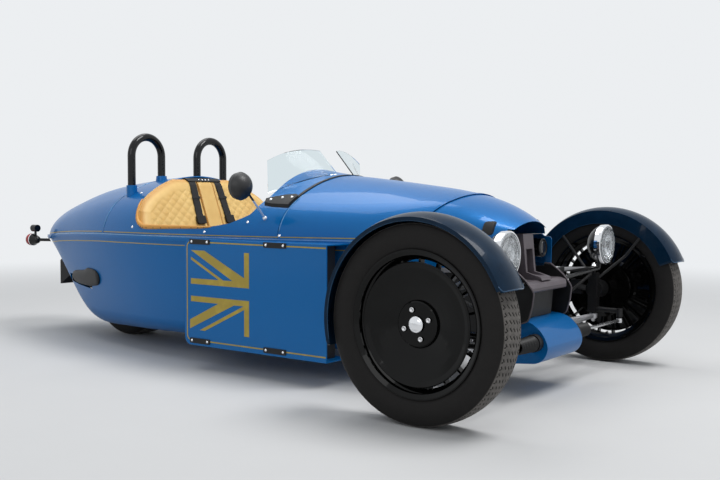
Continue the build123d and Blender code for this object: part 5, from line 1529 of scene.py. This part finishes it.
@dataclass
class EdgeTrim:
    """Rolled rims of the mudguards and beads on the front edges of the nose's side plates, each lighter than its
    panel as a painted highlight.
    """

    track_half: float = 835.0
    axle_z: float = 362.0
    half: float = 83.0
    crown_r: float = 394.4
    brow_r: float = 379.5
    outer_r: float = 366.5
    inner_r: float = 318.5
    front_deg: float = 21.4
    rear_deg: float = 195.6
    corner: float = 21.0
    plate: tuple = ((-20.0, 518.0), (10.0, 516.0), (45.0, 491.0), (69.0, 471.0), (98.0, 437.0), (107.0, 420.0),
                    (106.0, 402.0), (101.0, 365.0), (88.0, 318.0), (80.0, 305.0), (62.0, 297.0), (42.0, 291.0))
    plate_y: float = 181.3
    bead: float = 3.7
    rim_bead: float = 2.4

    def rim(self, side: float) -> Shape:
        """A bead round the mudguard's outline, in a lighter navy as a painted highlight: down each side wall at a
        corner, along it, and over the crown.

        The outline is a list of (degrees round the axle, place across, radius); the crown's radius falls with
        the square of the place across, and the corners are quarter circles in the skin.

        Args:
            side: the sign of y on the mudguard's side.

        Returns:
            The bead's points and faces.
        """
        turn = np.linspace(0.0, math.pi / 2, 8)
        deg_per_mm = math.degrees(1.0 / self.crown_r)
        across = np.linspace(-(self.half - self.corner), self.half - self.corner, 15)
        parts = []
        for end, way, order in ((self.front_deg, 1.0, 1), (self.rear_deg, -1.0, -1)):
            bend = self.half - self.corner + self.corner * np.sin(turn)
            back = end + way * self.corner * (1.0 - np.cos(turn)) * deg_per_mm
            y = np.concatenate([bend[::-1], across[1:-1][::-1], -bend]) * order
            deg = np.concatenate([back[::-1], 0.0 * across[1:-1] + end, back])
            radius = self.crown_r - (self.crown_r - self.brow_r) * (y / self.half) ** 2
            lows = [self.outer_r if v > 0 else self.inner_r for v in (y[0], y[-1])]
            parts.append(np.concatenate([[(deg[0], y[0], lows[0])], np.stack([deg, y, radius], axis=-1),
                                         [(deg[-1], y[-1], lows[1])]]))
        inner = np.linspace(parts[0][-1][0], parts[1][0][0], 90)[1:-1]
        sides = [np.stack([inner, 0.0 * inner - self.half, 0.0 * inner + self.inner_r], axis=-1),
                 np.stack([inner[::-1], 0.0 * inner + self.half, 0.0 * inner + self.outer_r], axis=-1)]
        deg, y, radius = np.concatenate([parts[0], sides[0], parts[1], sides[1]]).T
        turn = np.radians(deg)
        path = place(radius * np.cos(turn), side * (self.track_half + y), self.axle_z + radius * np.sin(turn))
        out = np.stack([np.cos(turn), side * y / self.half, np.sin(turn)], axis=-1)
        return carried(path, circle(self.rim_bead, 8), out, ring=True)

    def build(self) -> None:
        """One lighter navy rim for each mudguard, and one grey bead for each plate along its front edge, both painted
        highlights.
        """
        beads = []
        for name, side in SIDES:
            SHOP.piece("mudguard_rim_" + name, self.rim(side), GUARD_HIGHLIGHT, "knuckle_" + name)
            # The grey bead on the black plate's front edge is a painted highlight.
            path = side_view(self.plate, side * self.plate_y)
            beads.append(carried(path, circle(self.bead), np.array([0.0, side, 0.0])))
        SHOP.piece("nose_plate_edges", joined(*beads), GREY_PLASTIC)


@dataclass
class SilencerSleeve:
    """The long black sleeve through which the silencer shows in the right flank."""

    top: tuple = ((-2742.0, 350.0), (-2728.0, 368.0), (-2690.0, 378.0), (-2560.0, 388.0), (-2525.0, 394.0),
                  (-2497.0, 405.0), (-2425.0, 403.0), (-2385.0, 394.0), (-2362.0, 378.0), (-2356.0, 362.0))
    low: tuple = ((-2742.0, 340.0), (-2728.0, 322.0), (-2690.0, 308.0), (-2570.0, 304.0), (-2480.0, 304.0),
                  (-2395.0, 314.0), (-2368.0, 326.0), (-2356.0, 346.0))
    rows: int = 60
    cols: int = 24
    over_z: float = 425.0
    under_z: float = 262.0
    step: float = 5.0
    bulge: float = 11.0
    end_reach: float = 30.0
    depth: float = 12.0
    away_y: float = -800.0

    def skin(self, x: np.ndarray, z: np.ndarray) -> np.ndarray:
        """The flank's y: straight lines between the skin over the cut-out and under it.

        Args:
            x, z: the places, in millimetres, row by row along the car.

        Returns:
            The y at each place.
        """
        over, under = (np.array([SHOP.hit(("tub",), place(v, self.away_y, height), (0.0, 1.0, 0.0))[0][1] / MM
                                 for v in x[:, 0]])[:, None] for height in (self.over_z, self.under_z))
        return under + (over - under) * (z - self.under_z) / (self.over_z - self.under_z)

    def build(self) -> None:
        """Out = a step at the rim, and a bulge of half an ellipse up and down that also falls off at both ends."""
        u = (1.0 - np.cos(np.linspace(0.0, math.pi, self.rows))) / 2.0
        x = (self.top[0][0] + u * (self.top[-1][0] - self.top[0][0]))[:, None]
        high, low = from_table(x, self.top), from_table(x, self.low)
        v = np.sin(np.linspace(-math.pi / 2, math.pi / 2, self.cols))[None, :]
        z = (high + low) / 2 + v * (high - low) / 2
        x = np.broadcast_to(x, z.shape)
        end = np.clip(np.minimum(x - self.top[0][0], self.top[-1][0] - x) / self.end_reach, 0.0, 1.0)
        rise = self.step + self.bulge * np.sqrt(np.clip(1.0 - v ** 2, 0.0, 1.0)) * np.sqrt(1.0 - (1.0 - end) ** 2)
        y = self.skin(x, z)
        SHOP.piece("silencer_sleeve", pad(place(x, y - rise, z), place(x, y + self.depth, z)), SATIN_BLACK)


@dataclass
class Fasteners:
    """Press studs, bolts of the blade mounts, and clips of the screens."""

    studs: tuple = ((-2070.0, 817.0), (-1958.0, 646.0), (-1424.0, 636.0), (-1182.0, 686.0), (-998.0, 628.0))
    clips: tuple = ((-1004.0, 378.0), (-1052.0, 388.0), (-1105.0, 408.0))
    mount_x: tuple = (-1386.0, -923.0)
    mount_z: tuple = (594.0, 133.0)
    bolt_y: float = 589.3
    bolt_shift: float = 50.0
    # Each head: its radius and its height.
    stud_size: tuple[float, float] = (7.5, 5.0)
    bolt_size: tuple[float, float] = (6.5, 4.5)
    clip_size: tuple[float, float] = (7.0, 7.0)

    def dome(self, spot: np.ndarray, way: np.ndarray, radius: float, rise: float) -> Shape:
        """A low domed head on a surface."""
        return turned([(-1.0, 0.0), (-1.0, radius), (rise * 0.35, radius), (rise * 0.8, radius * 0.6), (rise, 0.0)],
                      spot, way, 20)

    def heads(self, nodes: Sequence[str], rays: Sequence[tuple], radius: float, rise: float) -> list[Shape]:
        """Domed heads where rays meet some nodes, square to the surface.

        Args:
            nodes: the CAD nodes.
            rays: a start and a way for each head.
            radius, rise: the head's size, in millimetres.

        Returns:
            The heads of those rays that meet a node.
        """
        found = []
        for start, way in rays:
            spot, normal = SHOP.hit(nodes, start, way)
            if spot is not None:
                found.append(self.dome(spot, normal * -np.sign(normal @ np.array(way)), radius, rise))
        return found

    def build(self) -> None:
        """Studs and clips stand where rays meet the body, and the bolts in rows on the blades' mounts."""
        level = [(place(x, side * 800.0, z), (0.0, -side, 0.0)) for _, side in SIDES for x, z in self.studs]
        studs = self.heads(("cockpit_surround", "bonnet"), level, *self.stud_size)
        bolts = [self.dome(place(x + shift, side * self.bolt_y, z), np.array([0.0, side, 0.0]), *self.bolt_size)
                 for _, side in SIDES for x in self.mount_x for z in self.mount_z
                 for shift in (-self.bolt_shift, self.bolt_shift)]
        above = [(place(x, side * y, 1100.0), DOWN) for _, side in SIDES for x, y in self.clips]
        clips = self.heads(("scuttle_strip",), above, *self.clip_size)
        for name, shapes in (("press_studs", studs), ("blade_bolts", bolts), ("screen_clips", clips)):
            if shapes:
                SHOP.piece(name, joined(*shapes), CHROME)


@dataclass
class Lamps:
    """What shows inside and on the lamps: reflectors, bulbs, glasses and bezels.

    Each profile is a list of (place along the lamp's axis, radius).
    """

    head: tuple[float, float, float] = (151.0, 472.0, 592.0)
    nose: tuple[float, float, float] = (-20.0, 156.0, 586.0)
    bowl_radius: float = 82.0
    bowl_rear: float = -52.0
    bowl_depth: float = 44.0
    bowl_skin: float = 1.2
    bulb: tuple = ((-52.0, 0.0), (-52.0, 13.0), (-34.0, 13.0), (-32.0, 8.0), (-14.0, 8.0), (-10.0, 5.0), (-9.0, 0.0))
    shield: tuple = ((-13.0, 0.0), (-13.0, 17.0), (-10.0, 17.0), (-7.0, 12.0), (-6.0, 0.0))
    bezel: tuple = ((0.2, 33.0), (0.2, 40.5), (3.5, 40.5), (5.0, 38.5), (4.5, 34.5), (2.0, 33.0))
    glass: tuple = ((0.3, 0.0), (0.3, 33.0), (2.4, 33.0), (4.6, 20.0), (5.6, 0.0))

    def build(self) -> None:
        """Each reflector is a parabola turned about the lamp's axis: depth grows with the radius squared."""
        radius = np.linspace(0.0, self.bowl_radius, 20)
        depth = self.bowl_rear + self.bowl_depth * (radius / self.bowl_radius) ** 2
        bowl = [*zip(depth, radius), *zip(depth[::-1] - self.bowl_skin, radius[::-1])]
        bulbs = joined(mirrored(self.bulb, self.head, AHEAD, 24), mirrored(self.shield, self.head, AHEAD, 32))
        bezels = mirrored(self.bezel, self.nose, AHEAD, closed=True)
        SHOP.piece("headlamp_reflectors", mirrored(bowl, self.head, AHEAD, 64), CHROME)
        SHOP.piece("headlamp_bulbs", bulbs, BRIGHT_STEEL)
        SHOP.piece("nose_lamp_bezels", bezels, SATIN_BLACK)
        SHOP.piece("nose_lamp_glasses", mirrored(self.glass, self.nose, AHEAD), SMOKED_GLASS)


@dataclass
class TailDetails:
    """The tail lamps' domed red glass over the housing, and a dark plate behind the silencer that stands in for the
    shade there.
    """

    lamp: tuple[float, float, float] = (-3211.0, 244.0, 534.0)
    sleeve: tuple = ((10.4, 34.3), (33.0, 34.3), (33.0, 35.6), (12.0, 36.0), (5.0, 34.2), (0.4, 29.0), (4.4, 32.0))
    ring: tuple = ((33.2, 34.3), (38.5, 34.2), (38.5, 35.6), (36.0, 36.6), (33.2, 36.4))
    shield: tuple = ((-2540.0, 230.0), (-2540.0, 430.0), (-2830.0, 430.0), (-2830.0, 260.0))
    shade_plate_y: float = -116.0

    def build(self) -> None:
        """The glass is a sleeve with a round rear edge; the shield is a flat dark plate along the inner wheel arch,
        put there as painted shade.
        """
        SHOP.piece("tail_lamp_sleeves", mirrored(self.sleeve, self.lamp, AHEAD, closed=True), RED_LENS)
        SHOP.piece("tail_lamp_rings", mirrored(self.ring, self.lamp, AHEAD, closed=True), CHROME)
        # A dark plate that paints the shade behind the silencer's opening.
        shield = slab(side_view(self.shield, self.shade_plate_y), (0.0, -1.0, 0.0), 1.5)
        SHOP.piece("silencer_shield", shield, SATIN_BLACK, smooth=False)


@dataclass
class Mirrors:
    """The mirrors' flat round glasses at the back of their bowls, each inside a thin rim."""

    spot: tuple[float, float, float] = (-1124.2, 605.0, 850.0)
    glass: tuple = ((0.0, 0.0), (0.0, 54.0), (0.8, 54.5), (1.0, 0.0))
    rim: tuple = ((0.0, 54.6), (0.0, 58.8), (2.2, 58.4), (2.6, 56.5), (2.0, 54.6))

    def build(self) -> None:
        """Both are turned about an axis that looks back."""
        SHOP.piece("mirror_glasses", mirrored(self.glass, self.spot, BACK), MIRROR_GLASS)
        SHOP.piece("mirror_rims", mirrored(self.rim, self.spot, BACK, closed=True), BLACK_PLASTIC)


@dataclass
class Dashboard:
    """Four round dials and a row of switches."""

    seat_x: float = -1400.0
    # Each dial: its y, its z and its radius.
    dials: tuple = ((-60.0, 800.0, 46.0), (60.0, 800.0, 46.0), (235.0, 790.0, 30.0), (-235.0, 780.0, 30.0))
    # The bezel's profile: (place out, distance past the dial's radius).
    bezel: tuple = ((0.0, 0.0), (0.0, 6.0), (8.0, 5.0), (10.0, 2.0), (9.0, 0.0), (1.0, -1.0))
    switch: tuple = ((0.0, 0.0), (0.0, 7.0), (4.0, 7.0), (5.0, 3.0), (16.0, 3.6), (20.0, 2.6), (20.6, 0.0))
    switches: int = 7
    switch_y: float = -90.0
    switch_z: float = 728.0
    switch_pitch: float = 30.0
    face_depth: float = 2.0
    tick_in: float = 3.0
    tick_half: float = 0.6
    tick_long: tuple[float, float] = (7.0, 4.0)
    ticks: int = 25
    first_deg: float = -130.0
    sweep_deg: float = 260.0

    def on_face(self, y: float, z: float) -> np.ndarray | None:
        """Where a level ray from the seats meets the dashboard."""
        return SHOP.hit(("dashboard",), place(self.seat_x, y, z), AHEAD)[0]

    def marks(self, centre: np.ndarray, radius: float) -> list[Shape]:
        """Raised ticks inside a dial's edge, spread evenly by angle, with each fourth one longer.

        Args:
            centre: the dial's middle, in metres.
            radius: its radius, in millimetres.

        Returns:
            The ticks.
        """
        made = []
        base = centre - np.array([(self.face_depth + 0.1) * MM, 0.0, 0.0])
        turns = np.linspace(self.first_deg, self.first_deg + self.sweep_deg, self.ticks)
        for i, turn in enumerate(np.radians(turns)):
            way = np.array([0.0, math.sin(turn), math.cos(turn)])
            side = np.array([0.0, math.cos(turn), -math.sin(turn)]) * self.tick_half * MM
            a = base + way * (radius - self.tick_in) * MM
            b = a - way * self.tick_long[i % 4 > 0] * MM
            made.append(slab(np.array([a - side, a + side, b + side, b - side]), BACK, 0.4))
        return made

    def build(self) -> None:
        """Each dial is a turned bezel round a pale face with raised ticks."""
        bezels, faces, marks, switches = [], [], [], []
        for y, z, r in self.dials:
            spot = self.on_face(y, z)
            if spot is None:
                continue
            bezels.append(turned([(out, r + past) for out, past in self.bezel], spot, BACK, 40, closed=True))
            faces.append(turned(((0.0, 0.0), (0.0, r), (self.face_depth, r), (self.face_depth, 0.0)), spot, BACK, 40))
            marks += self.marks(spot, r)
        for i in range(self.switches):
            spot = self.on_face(self.switch_y + self.switch_pitch * i, self.switch_z)
            if spot is not None:
                switches.append(turned(self.switch, spot, BACK, 16))
        SHOP.piece("dial_bezels", joined(*bezels), CHROME)
        SHOP.piece("dial_faces", joined(*faces), DIAL_FACE)
        SHOP.piece("dial_marks", joined(*marks), BLACK_PLASTIC, smooth=False)
        SHOP.piece("dash_switches", joined(*switches), BRIGHT_STEEL)


@dataclass
class Plate:
    """The blank number plate on its bracket."""

    face_x: float = -3045.4
    half: float = 138.0
    low: float = 282.0
    high: float = 392.0
    thick: float = 1.4

    def build(self) -> None:
        """A thin plate with round corners."""
        y, z = squarish(self.half, (self.high - self.low) / 2, 0.12)
        outline = place(self.face_x, y, z + (self.low + self.high) / 2)
        SHOP.piece("blank_plate", slab(outline, BACK, self.thick), PLATE_WHITE)


@dataclass
class Dresser:
    """Gives each node that the frame carries its material."""

    finishes: dict = field(default_factory=lambda: dict(NODE_FINISH))

    def finish_of(self, node: str) -> object:
        """The finish for a node, by its name or by the part of it before the side.

        Args:
            node: the node's name.

        Returns:
            The finish.
        """
        for side, _ in SIDES:
            if node.endswith("_" + side):
                return self.finishes[node[:-len(side)]]
        return self.finishes[node]

    def build(self) -> None:
        """Dresses every node of the frame."""
        for name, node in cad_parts.items():
            node.data.materials.clear()
            node.data.materials.append(SHOP.material(self.finish_of(name)))
            LOG.info("node %s dressed", name)


@dataclass
class Camera:
    """The photograph's camera, fitted to the car's round and mirrored parts."""

    spot: tuple[float, float, float] = (1809.0, -3636.0, 822.0)
    azimuth_deg: float = 36.69
    pitch_deg: float = 2.85
    roll_deg: float = 0.22
    lens_mm: float = 47.26
    sensor_mm: float = 36.0

    def build(self) -> None:
        """Turns the view's three axes into the camera's matrix."""
        a, p, r = (math.radians(v) for v in (self.azimuth_deg, self.pitch_deg, self.roll_deg))
        ahead = np.array([-math.sin(a) * math.cos(p), math.cos(a) * math.cos(p), -math.sin(p)])
        right = np.array([math.cos(a), math.sin(a), 0.0])
        up = np.cross(right, ahead)
        axes = [math.cos(r) * right + math.sin(r) * up, -math.sin(r) * right + math.cos(r) * up, -ahead]
        lens = bpy.data.cameras.new("photo_camera")
        lens.lens = self.lens_mm
        lens.sensor_width = self.sensor_mm
        lens.clip_end = 100.0
        camera = bpy.data.objects.new("photo_camera", lens)
        camera.matrix_world = Matrix([[*(axis[i] for axis in axes), place(*self.spot)[i]] for i in range(3)]
                                     + [[0.0, 0.0, 0.0, 1.0]])
        bpy.context.scene.collection.objects.link(camera)
        bpy.context.scene.camera = camera


@dataclass
class Studio:
    """A pale floor and backdrop with soft lamps."""

    floor_shade: float = 0.62
    floor_half: float = 14.0
    floor_fade: tuple[float, float] = (2.6, 7.5)
    backdrop: Colour = (0.84, 0.86, 0.88)
    sky_light: Colour = (0.9, 0.95, 1.0)
    sky_strength: float = 0.42
    # Each lamp: its name, place, aim, size and power.
    lamps: tuple = (("key_lamp", (3.5, 1.0, 6.5), (0.0, 0.0, 0.5), (3.0, 3.0), 300.0),
                    ("top_lamp", (-2.0, 0.5, 6.0), (-0.6, 0.0, 0.4), (5.0, 3.0), 150.0),
                    ("fill_lamp", (2.0, -6.5, 3.5), (0.0, 0.0, 0.4), (4.0, 3.0), 60.0))

    def lamp(self, name: str, spot: Sequence[float], aim: Sequence[float], size: Sequence[float],
             power: float) -> None:
        """A soft box that looks at a point.

        Args:
            name: the lamp's name.
            spot: where it hangs, in metres.
            aim: the point it looks at.
            size: its width and height.
            power: its power, in watts.
        """
        light = bpy.data.lights.new(name, "AREA")
        light.shape = "RECTANGLE"
        light.size, light.size_y = size
        light.energy = power
        lamp = bpy.data.objects.new(name, light)
        back = unit(np.array(spot, float) - np.array(aim, float))
        side = unit(np.cross(UP, back))
        up = np.cross(back, side)
        lamp.matrix_world = Matrix([[side[i], up[i], back[i], spot[i]] for i in range(3)] + [[0, 0, 0, 1]])
        bpy.context.scene.collection.objects.link(lamp)

    def build(self) -> None:
        """The floor, the lamps and the world."""
        scene = bpy.context.scene
        scene.view_settings.view_transform = "Standard"
        half = self.floor_half
        mesh = bpy.data.meshes.new("studio_floor")
        mesh.from_pydata([(-half, -half, 0), (half, -half, 0), (half, half, 0), (-half, half, 0)], [], [(0, 1, 2, 3)])
        floor = bpy.data.objects.new("studio_floor", mesh)
        scene.collection.objects.link(floor)
        net = Net("pale_floor")
        mottle = net.noise(3.0, 4.0, 0.6)
        shade = self.floor_shade
        tone = net.blend(mottle * 0.5, (shade,) * 3, (shade * 0.94,) * 3)
        x, y, _ = net.xyz()
        away = net.step(net.math("SQRT", x * x + y * y), *self.floor_fade)
        plain = net.node("ShaderNodeEmission", links={0: (*self.backdrop, 1.0)})
        near = net.shader(Base_Color=tone, Roughness=0.8, Specular_IOR_Level=0.2)
        share = away * Sock(net, self.rays(net.tree))
        mesh.materials.append(net.finish(net.node("ShaderNodeMixShader", links={0: share, 1: near, 2: plain})))
        for row in self.lamps:
            self.lamp(*row)
        self.sky()

    def rays(self, tree: bpy.types.NodeTree) -> bpy.types.NodeSocket:
        """1 where a view, a mirror image or glass looks at the surface, else 0.

        Args:
            tree: the node tree that asks.

        Returns:
            The value's output.
        """
        path = tree.nodes.new("ShaderNodeLightPath")
        most = path.outputs["Is Camera Ray"]
        for kind in ("Is Glossy Ray", "Is Transmission Ray"):
            both = tree.nodes.new("ShaderNodeMath")
            both.operation = "MAXIMUM"
            tree.links.new(most, both.inputs[0])
            tree.links.new(path.outputs[kind], both.inputs[1])
            most = both.outputs[0]
        return most

    def sky(self) -> None:
        """Soft even light, with the plain backdrop where a view, a reflection or glass looks at it."""
        world = bpy.data.worlds.new("studio_world")
        bpy.context.scene.world = world
        world.use_nodes = True
        tree = world.node_tree
        tree.nodes.clear()
        out = tree.nodes.new("ShaderNodeOutputWorld")
        mix = tree.nodes.new("ShaderNodeMixShader")
        light, seen = (tree.nodes.new("ShaderNodeBackground") for _ in range(2))
        light.inputs["Color"].default_value = (*self.sky_light, 1.0)
        light.inputs["Strength"].default_value = self.sky_strength
        seen.inputs["Color"].default_value = (*self.backdrop, 1.0)
        tree.links.new(self.rays(tree), mix.inputs[0])
        tree.links.new(light.outputs[0], mix.inputs[1])
        tree.links.new(seen.outputs[0], mix.inputs[2])
        tree.links.new(mix.outputs[0], out.inputs[0])


def main() -> None:
    """Builds the car's looks in order."""
    logging.basicConfig(level=logging.INFO, format="%(name)s: %(message)s")
    Camera().build()
    Studio().build()
    seats = Upholstery()
    for part in (Dresser(), seats, Belts(seats), Wheels(), BladeMarks(), BodyTrim(), EdgeTrim(), SilencerSleeve(),
                 Fasteners(), Lamps(), TailDetails(), Mirrors(), Dashboard(), Plate()):
        part.build()


if __name__ == "__main__":
    main()
